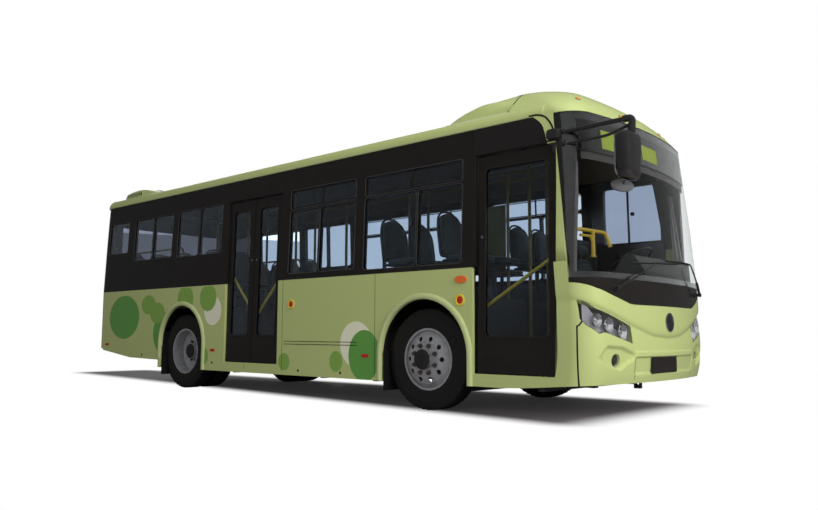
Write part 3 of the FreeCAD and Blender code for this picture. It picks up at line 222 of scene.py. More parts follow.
def makeWorld(strength):
    world = bpy.data.worlds.new("studio")
    bpy.context.scene.world = world
    world.use_nodes = True
    tree = world.node_tree
    ground = tree.nodes["Background"]
    seen = tree.nodes.new("ShaderNodeBackground")
    seen.inputs["Strength"].default_value = 1.0
    seen.inputs["Color"].default_value = (1, 1, 1, 1)
    ground.inputs["Color"].default_value = (0.93, 0.96, 1.0, 1)
    path = tree.nodes.new("ShaderNodeLightPath")
    # glossy rays see the ground's light dimmed and not the white that camera and transmission rays see
    dim = tree.nodes.new("ShaderNodeMath")
    dim.operation = "MULTIPLY_ADD"
    dim.inputs[1].default_value, dim.inputs[2].default_value = -0.6 * strength, strength
    tree.links.new(path.outputs["Is Glossy Ray"], dim.inputs[0])
    tree.links.new(dim.outputs[0], ground.inputs["Strength"])
    both = tree.nodes.new("ShaderNodeMath")
    both.operation = "MAXIMUM"
    tree.links.new(path.outputs["Is Camera Ray"], both.inputs[0])
    tree.links.new(path.outputs["Is Transmission Ray"], both.inputs[1])
    blend = tree.nodes.new("ShaderNodeMixShader")
    tree.links.new(both.outputs[0], blend.inputs[0])
    tree.links.new(ground.outputs[0], blend.inputs[1])
    tree.links.new(seen.outputs[0], blend.inputs[2])
    tree.links.new(blend.outputs[0], tree.nodes["World Output"].inputs["Surface"])


# painted shadow: a dark floor colour in a zone round the bus, its reach fitted to the outline of the bus's
# shadow
floorSetup = {"colour": (0.21, 0.185, 0.19), "front": 3.50, "rear": -6.6, "side": (1.10, 0.060),
              "middle": (0.05, 0.030), "fade": (0.55, 0.46), "least": 0.02}


def makeFloor():
    finish = Finish("studioFloor", floorSetup["colour"], 0.6)
    tree = finish.tree
    glow = tree.nodes.new("ShaderNodeEmission")
    glow.inputs["Strength"].default_value = 1.0
    mesh = bpy.data.meshes.new("studioFloor")
    reach = 60.0
    mesh.from_pydata([(-reach, -reach, 0), (reach, -reach, 0), (reach, reach, 0), (-reach, reach, 0)],
                     [], [(0, 1, 2, 3)])
    ground = linked("studioFloor", mesh)
    mesh.materials.append(finish.mat)
    finish.shader.inputs["Specular IOR Level"].default_value = 0.1
    # painted shadow: the floor's colour is dark near the bus, which deepens the shadow, and the camera sees
    # it fade to plain white away from it
    path = tree.nodes.new("ShaderNodeLightPath")
    x, y = finish.place()[1][:2]
    overX = (x - floorSetup["front"]).high(floorSetup["rear"] - x).high(0.0) / floorSetup["fade"][0]
    behind = floorSetup["front"] - x
    middle, side = (a + behind * b * sign for (a, b), sign in
                    ((floorSetup["middle"], 1), (floorSetup["side"], -1)))
    overY = ((y - middle).size() - side).high(0.0) / floorSetup["fade"][1]
    away = ((overX * overX + overY * overY) ** 0.5).clamped()
    share = floorSetup["least"] + (1 - floorSetup["least"]) * (away * away * (3 - 2 * away))
    share = share * Sig(finish, path.outputs["Is Camera Ray"])
    blend = tree.nodes.new("ShaderNodeMixShader")
    tree.links.new(share.socket, blend.inputs[0])
    tree.links.new(finish.shader.outputs[0], blend.inputs[1])
    tree.links.new(glow.outputs[0], blend.inputs[2])
    tree.links.new(blend.outputs[0], tree.nodes["Material Output"].inputs["Surface"])


bpy.context.scene.view_settings.view_transform = "Standard"
makeCamera(cameraSetup)
for lampName, setup in lightSetup.items():
    if lampName != "world":
        makeLamp(lampName + "Lamp", *setup)
makeWorld(lightSetup["world"])
makeFloor()
print("camera, light and floor made")


# Paints, plastics, rubber and glass
paintColours = {
    "green": (0.51, 0.585, 0.225),
    "darkGreen": (0.125, 0.35, 0.065),
    "midGreen": (0.235, 0.42, 0.075),
    "cream": (0.86, 0.85, 0.64),
    "black": (0.014, 0.012, 0.011),
    "yellow": (0.86, 0.60, 0.04),
}
# Painted discs on the side, behind the front axle: place, height and half sizes in metres
sideDiscs = (
    (-3.49, 1.013, 0.187, 0.185, "cream"), (-3.60, 1.178, 0.184, 0.171, "midGreen"),
    (-4.125, 1.175, 0.187, 0.187, "midGreen"), (-4.62, 0.725, 0.29, 0.28, "darkGreen"),
    (-5.735, 0.953, 0.43, 0.315, "darkGreen"), (-5.056, 1.119, 0.187, 0.135, "midGreen"),
    (-4.82, 1.003, 0.188, 0.146, "midGreen"), (-3.66, 0.434, 0.10, 0.11, "midGreen"),
    (-0.90, 0.62, 0.235, 0.235, "cream"), (-0.78, 0.505, 0.227, 0.262, "darkGreen"),
    (-1.20, 0.434, 0.10, 0.11, "midGreen"), (-2.06, 0.408, 0.10, 0.10, "midGreen"),
)
dirtSetup = {"reach": 0.75, "amount": 0.05}


def addCoat(finish, weight=0.4, roughness=0.08):
    finish.shader.inputs["Coat Weight"].default_value = weight
    finish.shader.inputs["Coat Roughness"].default_value = roughness


def greenPaint(name, discs=()):
    finish = Finish(name, paintColours["green"], 0.32)
    addCoat(finish, 0.25)
    spot, (x, y, z) = finish.place()
    speckle = finish.noise(spot, 3.0, 2.0)
    colour = finish.mix(speckle * 0.35, paintColours["green"],
                        tuple(c * 0.94 for c in paintColours["green"]))
    for place, height, halfX, halfZ, shade in discs:
        far = ((x - (frontAxleX + place)) / halfX) ** 2 + ((z - height) / halfZ) ** 2
        inside = (1 - step(far, 1.0, 0.012)) * (1 - step(z, beltZ - 0.012, 0.002))
        colour = finish.mix(inside, colour, paintColours[shade])
    dust = (1 - (z / dirtSetup["reach"]).clamped()) * finish.noise(spot, 14.0, 5.0) * dirtSetup["amount"]
    colour = finish.mix(dust, colour, (0.16, 0.14, 0.11))
    if discs:
        colour = finish.mix(1 - step(y.size(), 1.1665, 0.002), colour, (0.018, 0.018, 0.017))
    finish.feed("Base Color", colour)
    finish.feed("Roughness", 0.30 + dust * 1.5)
    finish.bump(finish.noise(spot, 900.0, 2.0), 0.0002, 0.05)
    return finish.mat


def blackPaint(name, roughness=0.22):
    finish = Finish(name, paintColours["black"], roughness)
    addCoat(finish, 0.12, 0.06)
    finish.shader.inputs["Specular IOR Level"].default_value = 0.2
    spot = finish.place()[0]
    finish.feed("Base Color", finish.mix(finish.noise(spot, 6.0), paintColours["black"],
                                         (0.022, 0.019, 0.017)))
    finish.feed("Roughness", 0.18 + finish.noise(spot, 25.0) * 0.08)
    finish.bump(finish.noise(spot, 700.0), 0.0002, 0.05)
    return finish.mat


def framePaint(name):
    # the screen's frame: black, with a green strip up its right pillar between two lines
    finish = Finish(name, paintColours["black"], 0.22)
    addCoat(finish, 0.25, 0.06)
    spot, (x, y, z) = finish.place()
    bow = (z - 2.51).high(0.0)
    edge = 3.600 - 0.125 * (z - 1.872).high(0.0) - 0.17 * (z - 2.405).high(0.0) - 5.0 * bow * bow
    front = step(x, edge, 0.002)
    back = 1 - step(x, 3.676 - 0.106 * (z - 1.863), 0.002)
    green = front * back
    finish.feed("Base Color", finish.mix(green, paintColours["black"], paintColours["green"]))
    finish.feed("Roughness", 0.2 + green * 0.1)
    finish.bump(finish.noise(spot, 700.0), 0.0002, 0.05)
    return finish.mat


def rearPaint(name):
    # green below the belt line and above the gutter, black between them
    finish = Finish(name, paintColours["green"], 0.3)
    addCoat(finish)
    spot, (x, y, z) = finish.place()
    band = between(z, beltZ, dripZ, 0.002)
    finish.feed("Base Color", finish.mix(band, paintColours["green"], paintColours["black"]))
    finish.feed("Roughness", 0.24 + finish.noise(spot, 20.0) * 0.1)
    finish.bump(finish.noise(spot, 700.0), 0.0002, 0.05)
    return finish.mat


def glossFinish(name, colour=(0.016, 0.015, 0.015)):
    finish = Finish(name, colour, 0.3)
    addCoat(finish, 0.9, 0.05)
    spot = finish.place()[0]
    finish.feed("Base Color", finish.mix(finish.noise(spot, 8.0), colour, tuple(c * 1.5 for c in colour)))
    finish.feed("Roughness", 0.25 + finish.noise(spot, 30.0) * 0.1)
    finish.bump(finish.noise(spot, 500.0), 0.0002, 0.04)
    return finish.mat


def plainFinish(name, colour, roughness, grain=220.0, depth=0.0004, metallic=0.0, shift=0.25):
    finish = Finish(name, colour, roughness, metallic)
    spot = finish.place()[0]
    cloud = finish.noise(spot, 5.0, 4.0)
    finish.feed("Base Color", finish.mix(cloud * shift * 2, colour, tuple(c * 0.72 for c in colour)))
    finish.feed("Roughness", roughness - 0.05 + finish.noise(spot, 30.0) * 0.1)
    finish.bump(finish.noise(spot, grain, 2.0), depth, 0.25)
    return finish


def glassFinish(name, colour, roughness=0.0, bend=1.25):
    finish = Finish(name, colour, roughness, 0.0, IOR=bend)
    finish.shader.inputs["Transmission Weight"].default_value = 1.0
    spot = finish.place()[0]
    finish.feed("Base Color", finish.mix(finish.noise(spot, 0.7, 2.0), colour,
                                         tuple(c * 0.93 for c in colour)))
    return finish.mat


def rubberFinish(name, colour=(0.018, 0.017, 0.016)):
    return plainFinish(name, colour, 0.62, 350.0, 0.0005).mat


def lensFinish(name, colour, alpha=1.0):
    finish = Finish(name, colour, 0.08, 0.0, IOR=1.49)
    spot, (x, y, z) = finish.place()
    ribs = finish.math("SINE", (y + x) * 900.0) * finish.math("SINE", z * 900.0)
    finish.bump(ribs, 0.0006, 0.4)
    finish.feed("Base Color", finish.mix(finish.noise(spot, 40.0) * 0.3, colour,
                                         tuple(c * 0.8 for c in colour)))
    if alpha < 1:
        finish.shader.inputs["Alpha"].default_value = alpha
    addCoat(finish, 1.0, 0.03)
    return finish.mat


def brushedFinish(name, colour=(0.6, 0.61, 0.62), roughness=0.3):
    finish = Finish(name, colour, roughness, 1.0)
    spot = finish.place()[0]
    streak = finish.noise(spot, 120.0, 2.0)
    finish.feed("Roughness", roughness - 0.06 + streak * 0.14)
    finish.bump(streak, 0.0002, 0.1)
    return finish.mat


def wheelFinish(name):
    finish = Finish(name, (0.55, 0.56, 0.59), 0.38, 0.55)
    spot = finish.place()[0]
    grime = finish.noise(spot, 18.0, 5.0)
    finish.feed("Base Color", finish.mix(grime ** 2 * 0.9, (0.58, 0.59, 0.62), (0.24, 0.23, 0.22)))
    finish.feed("Roughness", 0.3 + grime * 0.25)
    finish.bump(finish.noise(spot, 300.0), 0.0003, 0.15)
    return finish.mat


def seatFinish(name, colour):
    finish = Finish(name, colour, 0.55, 0.0)
    finish.shader.inputs["Sheen Weight"].default_value = 0.2
    spot, (x, y, z) = finish.place()
    weave = finish.math("SINE", (x + z) * 1400.0) * finish.math("SINE", y * 1400.0)
    cloud = finish.noise(spot, 9.0, 4.0)
    finish.feed("Base Color", finish.mix(cloud * 0.6, colour, tuple(c * 0.55 for c in colour)))
    finish.bump(weave * 0.5 + cloud, 0.0006, 0.35)
    return finish.mat


mats = {
    "green": greenPaint("greenPaint"),
    "greenDiscs": greenPaint("greenPaintWithDiscs", sideDiscs),
    "black": blackPaint("blackPaint"),
    "tinted": glassFinish("tintedGlass", (0.60, 0.69, 0.80)),
    # painted shade: almost black glass for the far side's rear windows, standing for the darkness seen
    # through the cabin
    "farSideShadeGlass": glassFinish("farRearShadeGlass", (0.035, 0.035, 0.042)),
    "tailGlass": glassFinish("tailGlass", (0.12, 0.12, 0.14)),
    # painted shade: the cabin's handrails take the door rails' yellow darkened to about a third
    "shadedRailYellow": plainFinish("shadedRailYellow", (0.26, 0.19, 0.016), 0.35, 300.0, 0.0002).mat,
    # painted shade: seat frames and partition are partly their own dark tones, darkened further for the dim
    # cabin
    "seatFrame": plainFinish("seatFramePaint", (0.03, 0.03, 0.031), 0.4).mat,
    "partition": plainFinish("partitionPanel", (0.07, 0.065, 0.05), 0.4).mat,
    # painted highlight: the light colour of the strip along the roof pod's foot
    "podHighlight": plainFinish("podHighlightStrip", (0.72, 0.70, 0.60), 0.6).mat,
    "rearWall": rearPaint("rearWallPaint"),
    "olive": plainFinish("olivePanel", (0.20, 0.19, 0.045), 0.5).mat,
    "curtain": plainFinish("curtainCloth", (0.42, 0.42, 0.40), 0.8, 900.0, 0.0006).mat,
    "driverGlass": glassFinish("driverGlass", (0.30, 0.37, 0.50)),
    "clear": glassFinish("screenGlass", (0.93, 0.95, 0.955), bend=1.08),
    "frame": framePaint("screenFramePaint"),
    "mudFlap": plainFinish("mudFlapRubber", (0.012, 0.012, 0.012), 0.7, 90.0, 0.001).mat,
    "lip": plainFinish("archLipPaint", (0.56, 0.64, 0.29), 0.33, 300.0, 0.0002).mat,
    "thinRubber": rubberFinish("windowRubber", (0.055, 0.056, 0.058)),
    "orange": lensFinish("orangeLens", (0.84, 0.17, 0.03)),
    "gloss": glossFinish("mirrorBlack"),
    "nut": brushedFinish("nutSteel", (0.34, 0.31, 0.27), 0.45),
    "hub": plainFinish("hubBlack", (0.02, 0.02, 0.02), 0.5, 200.0, 0.0005).mat,
    "rubber": rubberFinish("blackRubber"),
    "tyre": rubberFinish("tyreRubber", (0.0125, 0.0118, 0.0112)),
    "wheel": wheelFinish("wheelSilver"),
    "chassis": plainFinish("chassisPaint", (0.03, 0.03, 0.032), 0.55).mat,
    "axle": plainFinish("axleIron", (0.045, 0.045, 0.048), 0.5, 90.0, 0.001).mat,
    "engine": plainFinish("engineIron", (0.16, 0.17, 0.18), 0.5, 80.0, 0.001).mat,
    "plastic": plainFinish("blackPlastic", (0.022, 0.021, 0.021), 0.42, 500.0, 0.0004).mat,
    # painted shade: the dash plastic is darkened further than its own tone for the dim cabin
    "dash": plainFinish("dashPlastic", (0.050, 0.047, 0.045), 0.6, 600.0, 0.0005).mat,
    "yellow": plainFinish("yellowPaint", paintColours["yellow"], 0.3, 300.0, 0.0002).mat,
    # painted shade: seat covers and shells are partly their own dark green, darkened further for the dim
    # cabin
    "seat": seatFinish("seatCover", (0.034, 0.050, 0.042)),
    "seatShell": plainFinish("seatShell", (0.030, 0.045, 0.038), 0.35, 300.0, 0.0003).mat,
    "steel": brushedFinish("brushedSteel"),
    "chrome": brushedFinish("chrome", (0.8, 0.81, 0.82), 0.12),
    # painted shade: floor and ceiling are partly their own tones, darkened further for the dim cabin
    "floor": plainFinish("floorRubber", (0.060, 0.055, 0.045), 0.55, 180.0, 0.0008).mat,
    "panel": plainFinish("palePanel", (0.42, 0.43, 0.41), 0.4).mat,
    "ceiling": plainFinish("ceilingPanel", (0.20, 0.165, 0.095), 0.5).mat,
    "mirrorGlass": brushedFinish("mirrorGlass", (0.85, 0.87, 0.88), 0.06),
    "amber": lensFinish("amberLens", (0.9, 0.28, 0.02)),
    "red": lensFinish("redLens", (0.55, 0.02, 0.015)),
    "clearLens": lensFinish("clearLens", (0.7, 0.72, 0.75), 0.35),
    "lampSilver": brushedFinish("lampSilver", (0.62, 0.64, 0.66), 0.2),
    "lampTray": plainFinish("lampTray", (0.72, 0.70, 0.77), 0.35, metallic=0.2).mat,
    "cover": glassFinish("lampCover", (0.97, 0.98, 0.98)),
    "shade": plainFinish("sunShade", (0.11, 0.10, 0.09), 0.6).mat,
    "signGreen": plainFinish("signPanel", (0.52, 0.68, 0.05), 0.35).mat,
}
print("materials made:", len(mats))


def paint(name, *materials):
    mesh = nodes[name].data
    mesh.materials.clear()
    for material in materials:
        mesh.materials.append(mats[material])


nodePaints = {
    "green": ("roof", "roof_hatch", "front_mask", "front_cap", "roof_pod", "roof_vent",
              "rear_cap", "engine_door"),
    "greenDiscs": ("side_lower_left", "side_lower_right"),
    "frame": ("front_frame",),
    "black": ("side_upper_left", "side_upper_right", "front_black_panel",
              "door_front_leaf", "door_mid_front_leaf", "door_mid_rear_leaf"),
    "tailGlass": ("rear_window",),
    "tinted": ("side_windows", "door_front_glass", "door_mid_front_glass",
               "door_mid_rear_glass"),
    "rearWall": ("rear_wall",),
    "clear": ("windshield",),
    "chassis": ("chassis_frame", "frame_posts", "chassis_rear_frame"),
    "axle": ("front_axle", "rear_axle", "knuckle_left", "knuckle_right"),
    "engine": ("engine",),
    "floor": ("floor", "floor_rear"),
    "plastic": ("door_drives", "steering_column", "steering_wheel", "destination_sign", "wipers",
                "mirror_right", "mirror_left", "door_front_post", "door_mid_front_post",
                "door_mid_rear_post"),
    "seat": ("passenger_seats", "driver_seat"),
    "seatFrame": ("seat_legs",),
    "shadedRailYellow": ("handrails",),
    "dash": ("dashboard",),
    "partition": ("driver_partition",),
    "red": ("lamps_rear",),
    "lampSilver": ("lamps_front",),
    "tyre": ("tyre_front_left", "tyre_front_right", "tyres_rear_left", "tyres_rear_right"),
    "wheel": ("wheel_front_left", "wheel_front_right", "wheel_rear_left", "wheel_rear_right"),
}
for material, names in nodePaints.items():
    for name in names:
        paint(name, material)
print("nodes painted")


# Meshes: one small gatherer of points and faces, and projection onto the bus's own skin
def turnsOf(count, shift=0):
    return [2 * math.pi * (k + shift) / count for k in range(count)]


def bent(value, power):
    # a power that keeps the sign, which squares a circle's corners
    return math.copysign(abs(value) ** power, value)


def evenly(a, b, parts):
    return [a + (b - a) * k / parts for k in range(parts + 1)]


def spread(a, b, gap):
    return evenly(a, b, max(1, round(abs(b - a) / gap)))


class Shape:
    def __init__(self):
        self.points, self.faces, self.marks = [], [], []
        self.mark = 0                       # material index that new faces get

    def face(self, corners):
        self.faces.append(list(corners))
        self.marks.append(self.mark)

    def rings(self, rings, closed=False, caps=False):
        base, count = len(self.points), len(rings[0])
        for ring in rings:
            self.points += [Vector(p) for p in ring]
        for i in range(len(rings) - (0 if closed else 1)):
            a, b = base + i * count, base + (i + 1) % len(rings) * count
            for j in range(count):
                k = (j + 1) % count
                self.face((a + j, a + k, b + k, b + j))
        if caps:
            self.face(range(base + count - 1, base - 1, -1))
            end = base + (len(rings) - 1) * count
            self.face(range(end, end + count))
        return self

    def tube(self, path, radius, sides=12, closed=False, flat=1.0, up=None):
        path = [Vector(p) for p in path]
        count = len(path)
        rings, side = [], None
        for i, spot in enumerate(path):
            after = path[(i + 1) % count] if closed or i < count - 1 else spot
            before = path[i - 1] if closed or i > 0 else spot
            ahead = (after - before).normalized()
            if side is None:
                guide = Vector(up) if up else Vector((0, 0, 1)) if abs(ahead.z) < 0.9 else Vector((0, 1, 0))
                side = ahead.cross(guide)
            side = (side - ahead * side.dot(ahead)).normalized()
            top = side.cross(ahead)
            rings.append([spot + side * radius * math.cos(t) + top * radius * flat * math.sin(t)
                          for t in turnsOf(sides)])
        return self.rings(rings, closed=closed, caps=not closed)

    def lathe(self, profile, centre, axis, segments=64, closed=False, caps=False):
        # profile points are (radius, distance along the axis)
        axis = Vector(axis).normalized()
        first = axis.orthogonal().normalized()
        second = axis.cross(first)
        rings = []
        for radius, lift in profile:
            spot = Vector(centre) + axis * lift
            rings.append([spot + (first * math.cos(t) + second * math.sin(t)) * radius
                          for t in turnsOf(segments)])
        return self.rings(rings, closed=closed, caps=caps)

    def slab(self, outline, depth, bevel=0.0):
        # outline pushed along depth, with both rims bevelled inwards
        outline = [Vector(p) for p in outline]
        depth = Vector(depth)
        middle = sum(outline, Vector()) / len(outline)
        away = depth.normalized()

        widest = max((p - middle).length for p in outline)

        def inset(amount, shift):
            return [middle + (p - middle) * (1 - amount / widest) + shift for p in outline]

        levels = [inset(bevel, Vector()), inset(0, away * bevel), inset(0, depth - away * bevel),
                  inset(bevel, depth)]
        return self.rings(levels if bevel else [outline, [p + depth for p in outline]], caps=True)

    def block(self, low, high, bevel=0.003, roundAxis=2):
        # box with rounded edges along one axis and bevelled rims
        low, high = Vector(low), Vector(high)
        one, two = [i for i in range(3) if i != roundAxis]
        outline = roundedOutline(high[one] - low[one], high[two] - low[two], bevel * 2)
        points = []
        for u, v in outline:
            spot = Vector()
            spot[one] = (low[one] + high[one]) / 2 + u
            spot[two] = (low[two] + high[two]) / 2 + v
            spot[roundAxis] = low[roundAxis]
            points.append(spot)
        depth = Vector()
        depth[roundAxis] = high[roundAxis] - low[roundAxis]
        return self.slab(points, depth, bevel)

    def build(self, name, body, materials, slot, replaced=(), crease=40.0):
        mesh = bpy.data.meshes.new(name)
        mesh.from_pydata(self.points, [], self.faces)
        mesh.polygons.foreach_set("material_index", self.marks)
        turnOutwards(mesh)
        for material in materials:
            mesh.materials.append(mats[material])
        smoothMesh(mesh, crease)
        return dressed(linked(name, mesh), body, replaced)


def dressed(piece, body, replaced=()):
    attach(piece, body)
    if replaced:
        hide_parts(*replaced)
    return piece


def turnOutwards(mesh):
    fresh = bmesh.new()
    fresh.from_mesh(mesh)
    bmesh.ops.recalc_face_normals(fresh, faces=fresh.faces)
    fresh.to_mesh(mesh)
    fresh.free()


def smoothMesh(mesh, crease=40.0):
    mesh.shade_smooth()
    mesh.set_sharp_from_angle(angle=math.radians(crease))


def roundedOutline(width, height, radius, steps=5):
    radius = min(radius, width / 2 - 1e-4, height / 2 - 1e-4)
    points = []
    for quarter, (sx, sy) in enumerate(((1, 1), (-1, 1), (-1, -1), (1, -1))):
        for k in range(steps + 1):
            turn = math.pi / 2 * (quarter + k / steps)
            points.append((sx * (width / 2 - radius) + radius * math.cos(turn),
                           sy * (height / 2 - radius) + radius * math.sin(turn)))
    return points


def roundedAt(centre, width, height, radius, steps=5):
    return [(centre[0] + u, centre[1] + v) for u, v in roundedOutline(width, height, radius, steps)]


def roundedPath(points, radius, steps=6):
    points = [Vector(p) for p in points]
    out = []
    for i, corner in enumerate(points):
        if i in (0, len(points) - 1):
            out.append(corner)
            continue
        before, after = points[i - 1] - corner, points[i + 1] - corner
        reach = min(radius, before.length * 0.49, after.length * 0.49)
        a, b = corner + before.normalized() * reach, corner + after.normalized() * reach
        for k in range(steps + 1):
            t = k / steps
            out.append(a * (1 - t) ** 2 + corner * 2 * t * (1 - t) + b * t * t)
    return out


def dense(points, gap=0.02, closed=False):
    points = [Vector(p) for p in points]
    ends = points + points[:1] if closed else points
    out = []
    for a, b in zip(ends, ends[1:]):
        parts = max(1, math.ceil((b - a).length / gap))
        out += [a.lerp(b, k / parts) for k in range(parts)]
    return out if closed else out + [ends[-1]]


def makeTree(names):
    points, faces = [], []
    for name in names:
        mesh = nodes[name].data
        base = len(points)
        points += [v.co.copy() for v in mesh.vertices]
        faces += [[base + i for i in p.vertices] for p in mesh.polygons]
    return BVHTree.FromPolygons(points, faces)


sideTree = makeTree(["side_lower_left", "side_lower_right", "side_upper_left", "side_upper_right",
                     "front_mask", "front_frame", "windshield", "front_black_panel", "rear_wall"])
roofTree = makeTree(["roof", "roof_pod", "front_cap", "roof_vent", "rear_cap", "roof_hatch"])
tailTree = makeTree(["rear_wall", "engine_door", "lamps_rear", "rear_window", "rear_cap"])
farOut = 9.0


def sideCast(side, tree=sideTree):
    return lambda x, z: tree.ray_cast(Vector((x, side * farOut, z)), Vector((0, -side, 0)))[:2]


def downCast(tree):
    return lambda x, y: tree.ray_cast(Vector((x, y, farOut)), Vector((0, 0, -1)))[:2]


onRoof = downCast(roofTree)


def onTail(y, z):
    return tailTree.ray_cast(Vector((-farOut, y, z)), Vector((1, 0, 0)))[:2]


def found(cast, flatPoints):
    # points in the cast's own two axes, brought down onto the skin with their normals
    return [hit for hit in (cast(u, v) for u, v in flatPoints) if hit[0] is not None]


def laid(cast, flatPoints, gap=0.02, closed=False):
    return found(cast, [(p.x, p.y) for p in dense([(u, v, 0) for u, v in flatPoints], gap, closed)])


def strip(shape, spots, width, rise, closed=False, sink=0.002):
    # a low crowned ribbon along the skin
    count = len(spots)
    rings = []
    for i, (place, normal) in enumerate(spots):
        after = spots[(i + 1) % count][0] if closed or i < count - 1 else place
        before = spots[i - 1][0] if closed or i > 0 else place
        ahead = (after - before).normalized()
        across = ahead.cross(normal).normalized() * width / 2
        rings.append([place - across - normal * sink, place - across * 0.9 + normal * rise * 0.7,
                      place + normal * rise, place + across * 0.9 + normal * rise * 0.7,
                      place + across - normal * sink])
    return shape.rings(rings, closed=closed, caps=not closed)


def patch(shape, cast, outline, rise, depth=0.004, gap=0.02):
    # a thin plate with the skin's own curve, filled in from its outline towards its middle
    outline = dense([(u, v, 0) for u, v in outline], gap, closed=True)
    middle = sum(outline, Vector()) / len(outline)
    levels = [(1.0, -depth), (1.0, rise * 0.6), (0.985, rise)]
    levels += [(share, rise) for share in (0.8, 0.6, 0.4, 0.2, 0.02)]
    rings = []
    for share, lift in levels:
        ring = []
        for p in outline:
            spot = middle + (p - middle) * share
            place, normal = cast(spot.x, spot.y)
            ring.append(place + normal * lift)
        rings.append(ring)
    return shape.rings(rings, caps=True)


for node in nodes.values():
    smoothMesh(node.data, 32.0)
print("helpers ready")


# Tyres with ribs and shoulder notches
tyreSetup = {
    "radius": 0.487, "half": 0.1145, "bead": 0.2857, "segments": 150, "notchEvery": 3,
    "grooves": (-0.052, -0.018, 0.018, 0.052), "grooveHalf": 0.0042, "grooveDepth": 0.011,
    "notchDepth": 0.007, "shoulder": 0.026, "treadHalf": 0.090,
}


def tyreProfile(setup):
    # (radius, offset, takes a notch), from one bead over the tread to the other
    outer, half, bead = setup["radius"], setup["half"], setup["bead"] + 0.001
    tread, shoulder = setup["treadHalf"], outer - setup["shoulder"]
    wall = [(bead, 0.0855, 0), (0.2995, 0.0865, 0), (0.3005, 0.0945, 0), (0.3120, 0.1010, 0),
            (0.3200, 0.1040, 0), (0.3230, 0.1065, 0), (0.3270, 0.1065, 0), (0.3300, 0.1080, 0),
            (0.3520, 0.1125, 0), (0.3760, half, 0), (0.4050, 0.1135, 0), (0.4075, 0.1150 * 0.995, 0),
            (0.4100, 0.1130, 0), (0.4320, 0.1095, 0), (shoulder, 0.1010, 0),
            (shoulder + 0.008, 0.0985, 1), (outer - 0.006, 0.0935, 1), (outer - 0.0015, tread, 1),
            (outer - 0.0006, 0.070, 1), (outer - 0.0004, 0.064, 0)]
    top = []
    for groove in sorted(setup["grooves"], reverse=True):
        g, deep = setup["grooveHalf"], setup["grooveDepth"]
        top += [(outer, groove + g, 0), (outer - deep, groove + g * 0.6, 0),
                (outer - deep, groove - g * 0.6, 0), (outer, groove - g, 0)]
    mirrored = [(r, -v, n) for r, v, n in reversed(wall)]
    return wall + top + mirrored


def addTyre(shape, centre, setup):
    count = setup["segments"]
    rings = []
    for radius, offset, notch in tyreProfile(setup):
        ring = []
        for k, turn in enumerate(turnsOf(count)):
            cut = setup["notchDepth"] if notch and k % setup["notchEvery"] == 0 else 0.0
            ring.append(centre + Vector(((radius - cut) * math.cos(turn), offset,
                                         (radius - cut) * math.sin(turn))))
        rings.append(ring)
    shape.rings(rings, closed=True)


def makeTyres():
    for side in ("left", "right"):
        front = Shape()
        addTyre(front, nodeSpan("tyre_front_" + side)[2], tyreSetup)
        front.build("tyreFront" + side.title(), "wheel_front_" + side, ["tyre"], "tyre",
                    ["tyre_front_" + side], 30)
        rear = Shape()
        low, high, middle = nodeSpan("tyres_rear_" + side)
        reach = (high.y - low.y) / 2 - tyreSetup["half"]
        for shift in (-reach, reach):
            addTyre(rear, middle + Vector((0, shift, 0)), tyreSetup)
        rear.build("tyresRear" + side.title(), "wheel_rear_" + side, ["tyre"], "tyre",
                   ["tyres_rear_" + side], 30)


# Nuts, studs and hub caps on the wheels
nutSetup = {"circle": 0.1375, "count": 8, "apothem": 0.0174, "height": 0.027, "stud": 0.011,
            "studReach": 0.012, "washer": 0.024, "dish": 0.16, "capCircle": 0.052}


def addNut(shape, spot, out):
    flat = nutSetup["apothem"] / math.cos(math.pi / 6)
    side = Vector((0, out, 0))
    shape.lathe([(nutSetup["washer"], 0.0), (nutSetup["washer"], 0.004), (flat * 1.04, 0.0055)],
                spot, side, 20)
    hexagon = [(flat * 0.9, 0.0), (flat, 0.003), (flat, nutSetup["height"] - 0.004),
               (flat * 0.86, nutSetup["height"] + 0.0006)]
    shape.lathe(hexagon, spot, side, 6, caps=True)
    end = nutSetup["height"] + nutSetup["studReach"]
    shape.lathe([(nutSetup["stud"], 0.0), (nutSetup["stud"], end - 0.002), (nutSetup["stud"] * 0.8, end)],
                spot, side, 14, caps=True)


def makeWheelTrim():
    for name in ("front", "rear"):
        for side, out in (("left", 1), ("right", -1)):
            node = "wheel_%s_%s" % (name, side)
            middle = nodeSpan(node)[2]
            start = Vector((middle.x, out * farOut, middle.z))
            face = faceOf(node, start + Vector((nutSetup["dish"], 0, 0)), out)
            trim = Shape()
            for turn in turnsOf(nutSetup["count"], 0.5):
                spot = Vector((middle.x + nutSetup["circle"] * math.cos(turn), face,
                               middle.z + nutSetup["circle"] * math.sin(turn)))
                addNut(trim, spot, out)
            trim.mark = 1
            hubFace = faceOf(node, start, out)
            cap = [(0.096, 0.0005), (0.096, 0.006), (0.090, 0.011), (0.050, 0.015), (0.046, 0.011),
                   (0.028, 0.010), (0.006, 0.010), (0.001, 0.012)]
            trim.lathe(cap, (middle.x, hubFace, middle.z), (0, out, 0), 48, caps=True)
            for turn in turnsOf(6):
                spot = Vector((middle.x + nutSetup["capCircle"] * math.cos(turn), hubFace + out * 0.010,
                               middle.z + nutSetup["capCircle"] * math.sin(turn)))
                trim.lathe([(0.007, 0), (0.007, 0.004), (0.005, 0.006)], spot, (0, out, 0), 6, caps=True)
            trim.mark = 0
            valve = [(middle.x + 0.10, face, middle.z - 0.225),
                     (middle.x + 0.105, face + out * 0.012, middle.z - 0.205),
                     (middle.x + 0.108, face + out * 0.018, middle.z - 0.165)]
            trim.tube(roundedPath(valve, 0.02), 0.0045, 8)
            trim.build("wheelTrim%s%s" % (name.title(), side.title()), node, ["nut", "hub"],
                       "wheel_silver")


def faceOf(node, start, out):
    return makeTree([node]).ray_cast(start, Vector((0, -out, 0)))[0].y


makeTyres()
makeWheelTrim()
print("tyres and wheel trim made")


